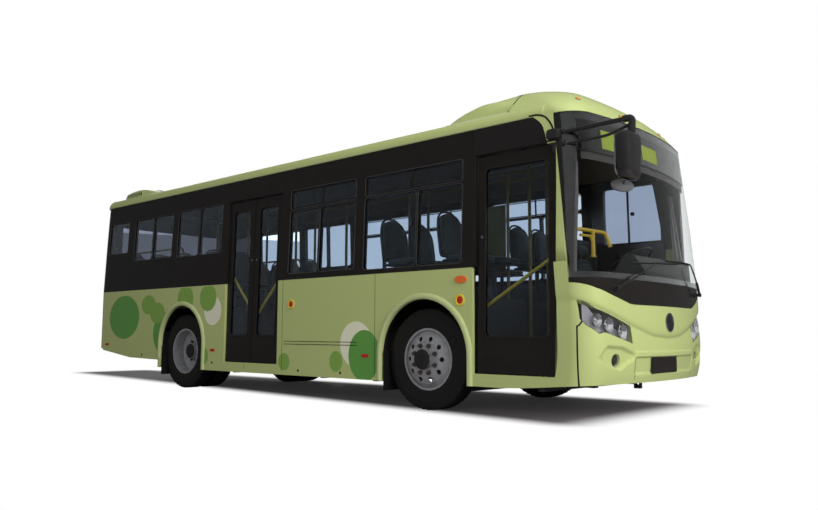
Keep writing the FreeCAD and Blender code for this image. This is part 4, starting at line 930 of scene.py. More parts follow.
# Nose mask: the plan of the bus's own nose, with the raised lip, the bumper bar and the fog lamp eyes
noseSetup = {
    "arc": 4.77, "corner": 0.24, "half": 1.2, "join": 2.755, "step": 0.0125,
    "tip": (0.0, 0.06, 0.13, 0.22, 0.32, 0.43, 0.58, 0.79, 1.0),
    "setback": (0.40, 0.133, 0.0, 0.0, 0.04, 0.14, 0.33, 0.66, 1.0),
    "deepest": 0.15, "foot": 0.26, "head": 2.635, "skin": 0.050,
    "lip": 0.262, "lipRise": 0.058, "lipFrom": 3.055,
}
smileLine = ((0.0, 0.699), (0.29, 0.716), (0.455, 0.753), (0.689, 0.816), (0.919, 0.896),
             (1.086, 0.944), (1.193, 1.014), (1.30, 1.07))
eyeTop = ((0.55, 0.565), (0.621, 0.580), (0.805, 0.636), (1.003, 0.649), (1.09, 0.557), (1.13, 0.53))
eyeFoot = ((0.55, 0.565), (0.615, 0.534), (0.733, 0.480), (0.825, 0.427), (0.984, 0.470), (1.071, 0.510),
           (1.13, 0.53))
lampTop = ((0.662, 0.800), (0.69, 0.812), (0.92, 0.892), (1.086, 0.943), (1.182, 1.017))
lampFoot = ((0.662, 0.655), (0.88, 0.712), (1.033, 0.749), (1.085, 0.735), (1.166, 0.811), (1.182, 0.856))
blackLine = ((0.0, 0.985), (0.60, 0.985), (0.68, 0.990), (0.909, 1.055), (1.08, 1.108), (1.25, 1.180))


def along(table, value):
    if value <= table[0][0]:
        return table[0][1]
    for (a, va), (b, vb) in zip(table, table[1:]):
        if value <= b:
            return va + (vb - va) * (value - a) / (b - a)
    return table[-1][1]


def smoothAlong(table, value, reach=0.035):
    return sum(along(table, value + reach * k) * w for k, w in ((-1, 0.25), (0, 0.5), (1, 0.25)))


def rise(value, low, high):
    t = min(1.0, max(0.0, (value - low) / (high - low)))
    return t * t * (3 - 2 * t)


def faceAt(z):
    heights = [noseSetup["foot"] + (noseSetup["head"] - noseSetup["foot"]) * t for t in noseSetup["tip"]]
    backs = [noseSetup["deepest"] * s for s in noseSetup["setback"]]
    for i in range(len(heights) - 1):
        if z <= heights[i + 1] or i == len(heights) - 2:
            span = heights[i + 1] - heights[i]
            t = (z - heights[i]) / span
            tangents = []
            for k in (i, i + 1):
                a, b = max(0, k - 1), min(len(heights) - 1, k + 1)
                tangents.append((backs[b] - backs[a]) / (heights[b] - heights[a]) * span)
            back = ((2 * t ** 3 - 3 * t * t + 1) * backs[i] + (t ** 3 - 2 * t * t + t) * tangents[0]
                    + (3 * t * t - 2 * t ** 3) * backs[i + 1] + (t ** 3 - t * t) * tangents[1])
            return noseTipX - back


def halfAt(z):
    return noseSetup["half"] - sideLean * max(0.0, z - beltZ) / (dripZ - beltZ)


def nosePlan(z):
    arc, corner = noseSetup["arc"], noseSetup["corner"]
    side = halfAt(z) - corner
    reach = math.sqrt((arc - corner) ** 2 - side ** 2)
    turn = math.atan2(side, reach)
    return side, reach, turn, arc * turn, corner * (math.pi / 2 - turn)


def noseSkin(s, z, lift=0.0):
    # s runs along the nose from its middle, left positive; gives the place and the way out
    side, reach, turn, arcRun, cornerRun = nosePlan(z)
    arc, corner, base = noseSetup["arc"], noseSetup["corner"], faceAt(z) - noseSetup["arc"]
    run, sign = abs(s), 1 if s >= 0 else -1
    if run < arcRun:
        angle, centre, radius = run / arc, (base, 0.0), arc
    elif run < arcRun + cornerRun:
        angle, centre, radius = turn + (run - arcRun) / corner, (base + reach, side), corner
    else:
        back = run - arcRun - cornerRun
        return Vector((base + reach - back, sign * (side + corner + lift), z)), Vector((0, sign, 0))
    x = centre[0] + (radius + lift) * math.cos(angle)
    y = centre[1] + (radius + lift) * math.sin(angle)
    return Vector((x, sign * y, z)), Vector((math.cos(angle), sign * math.sin(angle), 0))


def runAt(y, z):
    # the distance along the nose at which it is y from the middle
    side, reach, turn, arcRun, cornerRun = nosePlan(z)
    arc, corner, size = noseSetup["arc"], noseSetup["corner"], abs(y)
    if size <= arc * math.sin(turn):
        run = arc * math.asin(size / arc)
    else:
        run = arcRun + corner * (math.asin(min(1.0, (size - side) / corner)) - turn)
    return run if y >= 0 else -run


def runAtX(x, z, sign):
    side, reach, turn, arcRun, cornerRun = nosePlan(z)
    cornerX = faceAt(z) - noseSetup["arc"] + reach
    if x < cornerX:
        return sign * (arcRun + cornerRun + cornerX - x)
    corner = noseSetup["corner"]
    return sign * (arcRun + corner * (math.acos(min(1.0, (x - cornerX) / corner)) - turn))


def noseRelief(y, z):
    size = abs(y)
    above = z - smoothAlong(smileLine, size)
    fade = 1 - 0.6 * rise(size, 1.05, 1.19)
    depth = -0.024 * fade * (math.exp(-above / 0.020) if above > 0 else math.exp(above / 0.10))
    centre = 1 - rise(size, 0.585, 0.640)
    bar = rise(z, 0.536, 0.546) * (1 - rise(z, 0.582, 0.594)) * 0.011
    tray = (1 - rise(z, 0.528, 0.540)) * rise(z, 0.385, 0.415) * -0.016
    depth += centre * (bar + tray)
    top, foot = smoothAlong(eyeTop, size, 0.02), smoothAlong(eyeFoot, size, 0.015)
    if 0.58 < size < 1.12:
        inside = rise(z - foot, 0.0, 0.016) * rise(top - z, 0.0, 0.035)
        ends = rise(size, 0.60, 0.68) * (1 - rise(size, 1.03, 1.10))
        depth -= 0.028 * inside * ends
    return depth


def noseSpot(y, z, lift=0.0):
    return noseSkin(runAt(y, z), z, noseRelief(y, z) + lift)


def skinSpot(s, z, lift=0.0):
    return noseSkin(s, z, noseRelief(noseSkin(s, z)[0].y, z) + lift)


def screenSpot(y, z, lift=0.0):
    return noseSkin(runAt(y, z), z, lift)


noseTipX = nodeSpan("front_mask")[1].x


def noseFoot(s):
    # the mask's lower edge: level at the corners' ends, a little higher across the front
    share = rise(noseSkin(s, 0.4)[0].x, noseSetup["lipFrom"], noseTipX)
    return noseSetup["lip"] + noseSetup["lipRise"] * share


def noseHead(s):
    return along(blackLine, abs(noseSkin(s, 1.1)[0].y))


def noseGrid(shape, runs, low, high, rows):
    rings = []
    for s in runs:
        heights = evenly(low(s), high(s), rows)
        rings.append([skinSpot(s, z)[0] for z in heights]
                     + [noseSkin(s, z, -noseSetup["skin"])[0] for z in reversed(heights)])
    shape.rings(rings, caps=True)


maskSetup = {"edgeX": 3.7400, "edgeZ": 1.180, "doorFront": 3.625, "doorSill": 0.375, "rows": 92,
             "lampFrom": 0.662, "lampTo": 1.182, "fog": (0.86, 0.515, 0.056), "cutX": 3.6, "cut": 0.6}


def makeNoseMask():
    gap = noseSetup["step"]
    edge = runAtX(maskSetup["edgeX"], maskSetup["edgeZ"], 1)
    mask = Shape()
    noseGrid(mask, spread(-edge, edge, gap), noseFoot, noseHead, maskSetup["rows"])
    body = mask.build("noseMask", "body", ["green"], "body_green", ["front_mask"], 50)
    for sign in (1, -1):
        cutter = Shape()
        ys = spread(maskSetup["lampFrom"], maskSetup["lampTo"], 0.02)
        rim = [(y, along(lampFoot, y)) for y in ys] + [(y, along(lampTop, y)) for y in reversed(ys)]
        cutter.slab([(maskSetup["cutX"], sign * y, z) for y, z in rim], (maskSetup["cut"], 0, 0))
        cutMesh(body, cutter)
        fog = Shape()
        y, z, radius = maskSetup["fog"]
        fog.lathe([(radius, 0), (radius, maskSetup["cut"])], (maskSetup["cutX"], sign * y, z),
                  (1, 0, 0), 40, caps=True)
        cutMesh(body, fog)
    smoothMesh(body.data, 50)
    flank = Shape()
    left = runAtX(noseSetup["join"], 0.8, 1)
    noseGrid(flank, spread(edge, left, 0.05), noseFoot, lambda s: beltZ, 40)
    right = runAtX(maskSetup["doorFront"], 0.8, -1)
    noseGrid(flank, spread(-edge, right, 0.03), noseFoot, lambda s: beltZ, 40)
    noseGrid(flank, spread(right, -left, 0.05), noseFoot, lambda s: maskSetup["doorSill"], 6)
    flank.build("noseFlanks", "body", ["green"], "body_green", (), 50)


def cutMesh(piece, cutter):
    mesh = bpy.data.meshes.new("cutter")
    mesh.from_pydata(cutter.points, [], cutter.faces)
    turnOutwards(mesh)
    tool = linked("cutter", mesh)
    cut = piece.modifiers.new("cut", "BOOLEAN")
    cut.operation, cut.object, cut.solver = "DIFFERENCE", tool, "EXACT"
    bpy.context.view_layer.update()
    shown = piece.evaluated_get(bpy.context.evaluated_depsgraph_get())
    fresh = bmesh.new()
    fresh.from_mesh(shown.to_mesh())
    shown.to_mesh_clear()
    piece.modifiers.clear()
    fresh.to_mesh(piece.data)
    fresh.free()
    bpy.data.objects.remove(tool)
    bpy.data.meshes.remove(mesh)


makeNoseMask()
print("nose mask made")

# Head lamps behind clear covers, fog lamps, seams, plate and badge of the nose
lampSetup = {
    "bowls": ((1.087, 0.851, 0.052), (0.955, 0.813, 0.058), (0.773, 0.757, 0.062)),
    "from": 0.664, "to": 1.178, "tray": -0.046, "cover": -0.0015, "bowlLift": -0.014,
    "fog": (0.86, 0.515, 0.050), "fogLift": -0.020,
}
seamSetup = {"sideX": 3.805, "sideLow": 0.30, "sideHigh": 0.80, "width": 0.015, "rise": 0.0006,
             "upright": 0.605, "uprightLow": 0.35, "uprightHigh": 0.53}
plateSetup = {"middle": -0.0825, "half": 0.2625, "low": 0.394, "high": 0.539, "lift": 0.012}
badgeSetup = {"height": 0.842, "radius": 0.088}


def noseSheet(shape, ys, low, high, rows, outer, inner):
    # a sheet that follows the mask, between two lifts
    rings = []
    for y in ys:
        heights = evenly(low(abs(y)), high(abs(y)), rows)
        rings.append([noseSpot(y, z, outer)[0] for z in heights]
                     + [noseSpot(y, z, inner)[0] for z in reversed(heights)])
    return shape.rings(rings, caps=True)


def addBowl(shape, y, z, radius, lift, depth=0.040):
    place, out = noseSpot(y, z, lift)
    axis = (out + Vector((1.6, 0, 0))).normalized()
    shape.mark = 0
    shape.lathe([(radius, 0), (radius * 0.97, -0.004), (radius * 0.80, -depth * 0.5),
                 (radius * 0.45, -depth * 0.88), (0.009, -depth), (0.009, -depth - 0.003),
                 (radius * 0.5, -depth * 0.95), (radius * 0.87, -depth * 0.55),
                 (radius * 1.03, -0.005), (radius * 1.03, 0.0)], place, axis, 40, closed=True)
    shape.mark = 1
    shape.lathe([(radius * 1.02, -0.006), (radius * 1.02, 0.002), (radius * 1.06, 0.004),
                 (radius * 1.12, 0.002), (radius * 1.12, -0.006)], place, axis, 40, closed=True)
    shape.mark = 2
    shape.lathe([(0.010, -depth), (0.010, -depth * 0.55), (0.0075, -depth * 0.42), (0.0005, -depth * 0.38)],
                place, axis, 20, caps=True)
    return place, axis


def makeLamps():
    inside, glass, fogs = Shape(), Shape(), Shape()
    for sign in (1, -1):
        ys = [sign * y for y in spread(lampSetup["from"], lampSetup["to"], 0.012)]
        foot, top = (lambda y: along(lampFoot, y) + 0.002), (lambda y: along(lampTop, y) - 0.002)
        inside.mark = 3
        noseSheet(inside, ys, foot, top, 14, lampSetup["tray"], lampSetup["tray"] - 0.003)
        for y, z, radius in lampSetup["bowls"]:
            addBowl(inside, sign * y, z, radius, lampSetup["bowlLift"])
        noseSheet(glass, ys, foot, top, 18, lampSetup["cover"], lampSetup["cover"] - 0.0035)
        y, z, radius = lampSetup["fog"]
        place, axis = addBowl(fogs, sign * y, z, radius, lampSetup["fogLift"], 0.030)
        glass.lathe([(radius, -0.001), (radius, 0.003), (radius * 0.7, 0.0075), (radius * 0.35, 0.0095),
                     (0.001, 0.010), (0.001, 0.007), (radius * 0.35, 0.0065), (radius * 0.7, 0.0045),
                     (radius * 0.93, -0.001)], place, axis, 40)
    inside.build("headLampInsides", "body", ["lampSilver", "chrome", "mirrorGlass", "lampTray"], "lamp_clear",
                 ["lamps_front"])
    fogs.build("fogLamps", "body", ["lampTray", "lampTray", "mirrorGlass"], "lamp_clear")
    glass.build("lampCovers", "body", ["cover"], "lamp_clear")


def makeNoseTrim():
    seams = Shape()
    for sign in (1, -1):
        line = []
        for z in spread(seamSetup["sideLow"], seamSetup["sideHigh"], 0.02):
            line.append(skinSpot(runAtX(seamSetup["sideX"], z, sign), z))
        start = runAtX(seamSetup["sideX"], seamSetup["sideHigh"], sign)
        end = runAt(sign * 1.176, 0.84)
        for k in range(1, 9):
            t = k / 8
            line.append(skinSpot(start + (end - start) * t, seamSetup["sideHigh"] + 0.045 * t * t))
        strip(seams, line, seamSetup["width"], seamSetup["rise"])
        low, high = seamSetup["uprightLow"], seamSetup["uprightHigh"]
        strip(seams, [noseSpot(sign * seamSetup["upright"], z) for z in spread(low, high, 0.012)],
              0.006, seamSetup["rise"])
        for border, shift in ((lampTop, 0.001), (lampFoot, -0.001)):
            edge = [noseSpot(sign * y, along(border, y) + shift, -0.001)
                    for y in spread(lampSetup["from"], lampSetup["to"], 0.012)]
            strip(seams, edge, 0.006, 0.0008)
    seams.build("noseSeams", "body", ["rubber"], "trim_black")
    plate = Shape()
    half = plateSetup["half"]
    across = plateSetup["middle"]
    flat = [noseSpot(u, 0.46, plateSetup["lift"])[0].x for u in (0, across - half)]
    middle = (plateSetup["low"] + plateSetup["high"]) / 2
    rim = roundedAt((across, middle), half * 2, plateSetup["high"] - plateSetup["low"], 0.012)
    outline = [(max(flat) - 0.012, y, z) for y, z in rim]
    plate.slab(outline, (0.012, 0, 0), 0.002)
    plate.build("frontPlate", "body", ["black"], "body_black")
    badge = Shape()
    place, out = noseSpot(0, badgeSetup["height"], 0.0)
    radius = badgeSetup["radius"]
    badge.lathe([(radius, -0.004), (radius, 0.006), (radius * 0.97, 0.010), (radius * 0.90, 0.010),
                 (radius * 0.87, 0.006), (radius * 0.87, -0.004)], place, out, 56, closed=True)
    badge.mark = 1
    badge.lathe([(radius * 0.86, -0.004), (radius * 0.86, 0.004), (radius * 0.6, 0.006),
                 (radius * 0.3, 0.007), (0.001, 0.0075)], place, out, 56, caps=True)
    badge.build("noseBadge", "body", ["chrome", "plastic"], "wheel_silver")


makeLamps()
makeNoseTrim()
print("lamps and nose trim made")


# Black header behind the top of the screen with its two sign panels, and the shade below it
headerSetup = {"low": 2.285, "high": 2.62, "shadeLow": 2.215, "lift": -0.0125,
               "panels": ((-0.83, -0.64, 2.33, 2.50), (-0.17, 0.15, 2.34, 2.48))}


def glassSheet(shape, y0, y1, z0, z1, outer, inner, gap=0.04):
    rings = []
    for y in spread(y0, y1, gap):
        heights = spread(z0, z1, gap)
        rings.append([screenSpot(y, z, outer)[0] for z in heights]
                     + [screenSpot(y, z, inner)[0] for z in reversed(heights)])
    return shape.rings(rings, caps=True)


def makeHeader():
    lift = headerSetup["lift"]
    band, shade, lit = Shape(), Shape(), Shape()
    glassSheet(band, -1.10, 1.10, headerSetup["low"], headerSetup["high"], lift, lift - 0.004)
    glassSheet(shade, -1.08, 1.08, headerSetup["shadeLow"], headerSetup["low"], lift - 0.012, lift - 0.016)
    for y0, y1, z0, z1 in headerSetup["panels"]:
        glassSheet(lit, y0, y1, z0, z1, lift + 0.0015, lift - 0.001)
    band.build("screenHeader", "body", ["black"], "body_black")
    shade.build("sunShade", "body", ["shade"], "trim_black")
    lit.build("signPanels", "body", ["signGreen"], "lamp_clear")


makeHeader()


# Wipers: pivots, arms with their joint, spring bodies and blades lying on the glass
wiperSetup = {
    "right": {"pivot": (-0.88, 1.120), "tip": (-0.22, 1.375), "blade": ((-0.62, 1.345), (0.34, 1.400))},
    "left": {"pivot": (0.86, 1.128), "tip": (0.604, 1.404), "blade": ((0.02, 1.408), (0.74, 1.424))},
    "stand": 0.030,
}


def makeWipers():
    arms = Shape()
    for name, stand in (("right", wiperSetup["stand"]), ("left", wiperSetup["stand"] + 0.016)):
        setup = wiperSetup[name]
        (py, pz), (ty, tz) = setup["pivot"], setup["tip"]
        root, out = screenSpot(py, pz)
        arms.mark = 0
        arms.lathe([(0.026, -0.004), (0.026, 0.006), (0.018, 0.012), (0.016, stand), (0.020, stand + 0.003),
                    (0.020, stand + 0.014), (0.014, stand + 0.018), (0.001, stand + 0.019)],
                   root, out, 24, caps=True)
        line = []
        for k in range(13):
            t = k / 12
            y, z = py + (ty - py) * t, pz + (tz - pz) * t
            line.append(screenSpot(y, z, stand + 0.006 * math.sin(math.pi * t))[0])
        arms.tube(line[:6], 0.013, 10, flat=0.7)
        arms.tube(line[5:], 0.0075, 10, flat=0.7)
        (ay, az), (by, bz) = setup["blade"]
        beam, lip = [], []
        for k in range(17):
            t = k / 16
            y, z = ay + (by - ay) * t, az + (bz - az) * t
            beam.append(screenSpot(y, z, 0.014 + (stand - 0.022) * math.sin(math.pi * t))[0])
            lip.append(screenSpot(y, z, 0.0065)[0])
        arms.tube(beam, 0.0055, 8)
        arms.mark = 1
        arms.tube(lip, 0.0052, 8, flat=1.5)
        arms.mark = 0
        for k in (0, 3, 6, 10, 13, 16):
            arms.tube([beam[k], lip[k]], 0.005, 8)
    arms.build("wiperSet", "body", ["plastic", "rubber"], "trim_black", ["wipers"])


makeWipers()
print("header and wipers made")


# Mirrors: rounded heads on bent arms
mirrorSetup = {
    "right": {"centre": (4.296, -1.210), "glass": 0.215, "from": 1.945, "levels": (
        (0.0, 0.024, 0.056), (0.006, 0.050, 0.092), (0.020, 0.063, 0.108), (0.060, 0.070, 0.118),
        (0.150, 0.075, 0.126), (0.250, 0.0775, 0.132), (0.320, 0.0765, 0.134), (0.355, 0.070, 0.126),
        (0.372, 0.052, 0.106), (0.378, 0.024, 0.068))},
    "left": {"centre": (3.588, 1.296), "glass": 0.18, "from": 1.605, "levels": (
        (0.0, 0.018, 0.050), (0.006, 0.032, 0.078), (0.022, 0.041, 0.092), (0.080, 0.045, 0.098),
        (0.200, 0.046, 0.100), (0.300, 0.045, 0.100), (0.340, 0.038, 0.088), (0.356, 0.026, 0.068),
        (0.362, 0.012, 0.040))},
    "arm": 0.019, "rod": 0.0125, "sleeve": 0.029, "sleeveFrom": (4.24, -1.172, 2.450),
    "elbow": ((4.314, -1.165, 2.454), (4.310, -1.172, 2.27)),
    "upper": ((3.655, -1.128, 2.455), (4.15, -1.180, 2.446)),
    "lower": ((3.655, -1.128, 2.345), (4.10, -1.160, 2.345), (4.300, -1.168, 2.400)),
    "blocks": (((3.585, -1.165, 2.285), (3.672, -1.112, 2.485), 0.008),
               ((3.540, -1.200, 2.394), (3.668, -1.115, 2.488), 0.016)),
}


def addPod(shape, centre, start, levels, rear, power=2.9, segments=44):
    rings = []
    for up, halfX, halfY in levels:
        ring = []
        for turn in turnsOf(segments):
            ring.append((max(rear, centre[0] + halfX * bent(math.cos(turn), 2 / power)),
                         centre[1] + halfY * bent(math.sin(turn), 2 / power), start + up))
        rings.append(ring)
    shape.rings(rings, caps=True)


def makeMirrors():
    right, left = Shape(), Shape()
    for shape, name, glassX in ((right, "right", 4.2265), (left, "left", 3.5405)):
        setup = mirrorSetup[name]
        addPod(shape, setup["centre"], setup["from"], setup["levels"], glassX + 0.0015)
        high = setup["levels"][-1][0]
        shape.mark = 1
        rim = roundedAt((setup["centre"][1], setup["from"] + high / 2), setup["glass"], high - 0.06, 0.06)
        shape.slab([(glassX, y, z) for y, z in rim], (0.012, 0, 0), 0.002)
        shape.mark = 0
    elbow = mirrorSetup["elbow"]
    right.tube(roundedPath([*mirrorSetup["upper"], *elbow], 0.075, 8), mirrorSetup["arm"], 16)
    right.tube(roundedPath([mirrorSetup["sleeveFrom"], *elbow], 0.055, 10), mirrorSetup["sleeve"], 18)
    right.tube(roundedPath(mirrorSetup["lower"], 0.05), mirrorSetup["rod"], 12)
    right.lathe([(0.024, -0.03), (0.030, -0.026), (0.030, 0.026), (0.024, 0.03)],
                (4.312, -1.171, 2.345), (0, 0, 1), 24, caps=True)
    for low, high, bevel in mirrorSetup["blocks"]:
        right.block(low, high, bevel, 1)
    for z in (2.345, 2.455):
        right.lathe([(0.027, 0.0), (0.027, 0.035), (0.020, 0.040)], (3.662, -1.130, z), (1, -0.2, 0),
                    20, caps=True)
    for z in (1.705, 1.865):
        left.tube([(3.588, 1.13, z), (3.588, 1.20, z)], 0.014, 12)
    left.block((3.565, 1.135, 1.67), (3.611, 1.165, 1.90), 0.006, 1)
    right.build("mirrorRight", "body", ["gloss", "mirrorGlass"], "trim_black", ["mirror_right"])
    left.build("mirrorLeft", "body", ["gloss", "mirrorGlass"], "trim_black", ["mirror_left"])


makeMirrors()
print("mirrors made")


# Sides: window rubbers and slides, gutters, arch lips, mud flaps, lines and small marks
sideSetup = {
    "paneOut": 0.003, "paneCorner": 0.034, "rubber": 0.009, "slideBar": 0.022, "slideTall": 0.32,
    "doorHead": ((-0.025 + 3.655 - 0.85, 3.655), (-1.095, -0.015)), "doorHeadZ": 2.386,
    "lines": ((-2.07, -0.886, 0.640), (-2.07, -0.886, 0.608)),
    "latches": ((-1.81, 0.317), (-1.13, 0.317), (-6.06, 0.468), (-5.195, 0.419), (-3.474, 0.359)),
    "reflectors": ((-6.21, 0.554), (-3.467, 0.514), (-0.762, 0.505)), "reflector": (0.095, 0.034),
    "buttons": ((0.459, 1.042), (-1.95, 1.058)), "oval": (0.472, 1.233, 0.142, 0.070),
    "joints": (-0.63, -2.10, -2.81), "jointFoot": 0.30,
}
archSetup = {
    "front": (2.155, 0.525, 0.540), "rear": (-2.050, 0.585, 0.505), "foot": 0.262, "reach": 0.035,
    "profile": ((-0.001, -0.030), (-0.001, 0.010), (0.004, 0.0165), (0.016, 0.020), (0.036, 0.018),
                (0.049, 0.012), (0.056, 0.004), (0.058, -0.006)),
    "flapX": (1.640, -2.530), "flap": (0.165, 0.56, 0.90, 1.188, 0.007),
}


def islands(name):
    # the low and high corners of each separate solid of a node
    mesh = nodes[name].data
    keys = [tuple(round(c, 4) for c in v.co) for v in mesh.vertices]
    parent = {key: key for key in keys}

    def root(key):
        while parent[key] != key:
            parent[key] = parent[parent[key]]
            key = parent[key]
        return key

    for polygon in mesh.polygons:
        first = root(keys[polygon.vertices[0]])
        for i in polygon.vertices[1:]:
            parent[root(keys[i])] = first
            first = root(first)
    groups = {}
    for key in parent:
        groups.setdefault(root(key), []).append(key)
    spans = []
    for keys in groups.values():
        spans.append((Vector([min(k[i] for k in keys) for i in range(3)]),
                      Vector([max(k[i] for k in keys) for i in range(3)])))
    return sorted(spans, key=lambda span: (span[0].x, span[0].y, span[0].z))


def makeWindowTrim():
    tree = makeTree(["side_windows"])
    rubbers = Shape()
    grow = sideSetup["paneOut"]
    for low, high in islands("side_windows"):
        side = 1 if low.y > 0 else -1
        wide, tall = high.x - low.x, high.z - low.z
        middleX, middleZ = (low.x + high.x) / 2, (low.z + high.z) / 2
        outline = roundedAt((middleX, middleZ), wide + 2 * grow, tall + 2 * grow,
                            sideSetup["paneCorner"], 6)
        spots = laid(sideCast(side), outline, 0.05, True)
        rubbers.mark = 0
        strip(rubbers, spots, sideSetup["rubber"], 0.0035, True)
        if tall > sideSetup["slideTall"] or wide < 0.75:
            continue
        rubbers.mark = 1
        onPane = sideCast(side, tree)
        bar = found(onPane, [(middleX, z) for z in spread(low.z + 0.004, high.z - 0.004, 0.03)])
        strip(rubbers, bar, sideSetup["slideBar"], 0.006)
        for z in (low.z + 0.016, high.z - 0.016):
            edge = found(onPane, [(x, z) for x in spread(low.x + 0.03, high.x - 0.03, 0.1)])
            strip(rubbers, edge, 0.012, 0.004)
    rubbers.build("windowRubbers", "body", ["thinRubber", "rubber"], "trim_black")


def makeArchTrim():
    lips, flaps = Shape(), Shape()
    for name in ("front", "rear"):
        cx, cz, radius = archSetup[name]
        for side in (1, -1):
            path = [((-1.0, 0.0), (cx - radius, z)) for z in spread(archSetup["foot"], cz, 0.04)]
            for k in range(1, 49):
                turn = math.pi * (1 - k / 49)
                path.append(((math.cos(turn), math.sin(turn)),
                             (cx + radius * math.cos(turn), cz + radius * math.sin(turn))))
            path += [((1.0, 0.0), (cx + radius, z)) for z in spread(cz, archSetup["foot"], 0.04)]
            if name == "rear":
                path = [spot for spot in path if spot[1][0] > cx or spot[1][1] > 0.355]
            rings = []
            for (ox, oz), (x, z) in path:
                rings.append([(x + ox * r, side * (bodyHalf + out), z + oz * r)
                              for r, out in archSetup["profile"]])
            lips.rings(rings, caps=True)
    z0, z1, y0, y1, thick = archSetup["flap"]
    for x in archSetup["flapX"]:
        for side in (1, -1):
            near, far = sorted((side * y0, side * y1))
            flaps.block((x - thick / 2, near, z0), (x + thick / 2, far, z1), 0.0025, 0)
    lips.build("archLips", "body", ["lip"], "body_green", (), 50)
    flaps.build("mudFlaps", "body", ["mudFlap"], "tyre")


def addPlate(shape, cast, u, v, width, height, rise, radius=None, gap=0.02):
    outline = roundedAt((u, v), width, height, radius or height / 2.2)
    if any(cast(*spot)[0] is None for spot in outline + [(u, v)]):
        print("no skin for a mark at", round(u, 3), round(v, 3))
        return
    patch(shape, cast, outline, rise, 0.003, gap)


def makeSideTrim():
    lines, marks = Shape(), Shape()
    for side in (1, -1):
        cast = sideCast(side)
        for x0, x1, z in sideSetup["lines"]:
            strip(lines, laid(cast, [(frontAxleX + x0, z), (frontAxleX + x1, z)], 0.1), 0.007, 0.003)
        belt = beltZ - 0.005
        lines.mark = 1
        for x0, x1 in sideSetup["doorHead"] if side < 0 else ():
            strip(lines, laid(cast, [(x0, sideSetup["doorHeadZ"]), (x1, sideSetup["doorHeadZ"])], 0.05),
                  0.016, 0.010)
        lines.mark = 0
        for x in sideSetup["joints"]:
            upright = [(frontAxleX + x, sideSetup["jointFoot"]), (frontAxleX + x, belt)]
            strip(lines, laid(cast, upright, 0.05), 0.005, 0.0008)
        for x, z in sideSetup["latches"]:
            marks.mark = 0
            addPlate(marks, cast, frontAxleX + x, z, 0.030, 0.030, 0.002, 0.0149, 0.006)
        for x, z in sideSetup["reflectors"]:
            marks.mark = 1
            wide, tall = sideSetup["reflector"]
            addPlate(marks, cast, frontAxleX + x, z, wide, tall, 0.006, 0.006)
        x, z, wide, tall = sideSetup["oval"]
        marks.mark = 2
        oval = [(frontAxleX + x + wide / 2 * math.cos(t), z + tall / 2 * math.sin(t))
                for t in turnsOf(40)]
        patch(marks, cast, oval, 0.014, 0.003, 0.02)
        for x, z in sideSetup["buttons"] if side < 0 else ():
            place, normal = cast(frontAxleX + x, z)
            marks.mark = 3
            marks.lathe([(0.054, -0.002), (0.054, 0.006), (0.046, 0.010), (0.034, 0.006), (0.034, -0.002)],
                        place, normal, 36, closed=True)
            marks.mark = 1
            marks.lathe([(0.033, -0.002), (0.033, 0.005), (0.020, 0.009), (0.001, 0.010)], place, normal, 32,
                        caps=True)
    # a seal behind the free edge of the front door
    lines.mark = 0
    lines.block((2.781, -1.146, 0.40), (2.801, -1.050, 2.38), 0.004)
    lines.build("sideLines", "body", ["rubber", "black"], "trim_black")
    marks.build("sideMarks", "body", ["hub", "red", "orange", "yellow"], "lamp_red")


def makeRoofEdge():
    tree = makeTree(["roof", "front_cap", "rear_cap", "side_upper_left", "side_upper_right", "front_mask",
                     "front_frame", "rear_wall"])
    drip = Shape()
    for side in (1, -1):
        for lift, width, out in ((0.012, 0.020, 0.007), (-0.010, 0.012, 0.003)):
            drip.mark = 0 if lift > 0 else 1
            line = [(x, dripZ + lift) for x in spread(-4.12, 3.35, 0.08)]
            strip(drip, found(sideCast(side, tree), line), width, out)
    drip.mark = 1
    corner = [(3.30, 2.649), (3.369, 2.649), (3.432, 2.647), (3.483, 2.632), (3.524, 2.606),
              (3.563, 2.560), (3.588, 2.514), (3.602, 2.478)]
    for side in (1, -1):
        strip(drip, laid(sideCast(side, tree), corner), 0.017, 0.004)
    drip.build("roofGutters", "body", ["lip", "rubber"], "body_green")


skirtSetup = {
    "leg": -2.60, "bend": -3.376, "reach": 0.035,
    "ramp": ((-4.40, 0.492), (-4.206, 0.470), (-3.376, 0.374), (-2.60, 0.360)),
    "cad": ((-4.40, 0.502), (-4.253, 0.490), (-2.715, 0.350), (-2.60, 0.350)),
}


def makeSkirts():
    # the lower walls with their foot behind the rear wheels brought to its true line
    for side in ("left", "right"):
        name = "side_lower_" + side
        fresh = bmesh.new()
        fresh.from_mesh(nodes[name].data)
        for x in (skirtSetup["bend"], skirtSetup["leg"]):
            bmesh.ops.bisect_plane(fresh, geom=fresh.verts[:] + fresh.edges[:] + fresh.faces[:],
                                   plane_co=(x, 0, 0), plane_no=(1, 0, 0))
        for vertex in fresh.verts:
            x, z = vertex.co.x, vertex.co.z
            if x < skirtSetup["leg"] + 0.001 and z < along(skirtSetup["cad"], x) + skirtSetup["reach"]:
                vertex.co.z = along(skirtSetup["ramp"], x)
        mesh = bpy.data.meshes.new("skirt")
        fresh.to_mesh(mesh)
        fresh.free()
        for material in nodes[name].data.materials:
            mesh.materials.append(material)
        smoothMesh(mesh, 32.0)
        dressed(linked("lowerWall" + side.title(), mesh), "body", [name])


makeSkirts()
makeWindowTrim()
makeArchTrim()
makeSideTrim()
makeRoofEdge()
# painted shade: the far side's rear panes take the almost black glass
for polygon in nodes["side_windows"].data.polygons:
    spot = polygon.center
    polygon.material_index = 1 if spot.x > 2.85 else 2 if spot.x < -3.62 and spot.y > 0 else 0
nodes["side_windows"].data.materials.append(mats["driverGlass"])
nodes["side_windows"].data.materials.append(mats["farSideShadeGlass"])
print("side trim made")


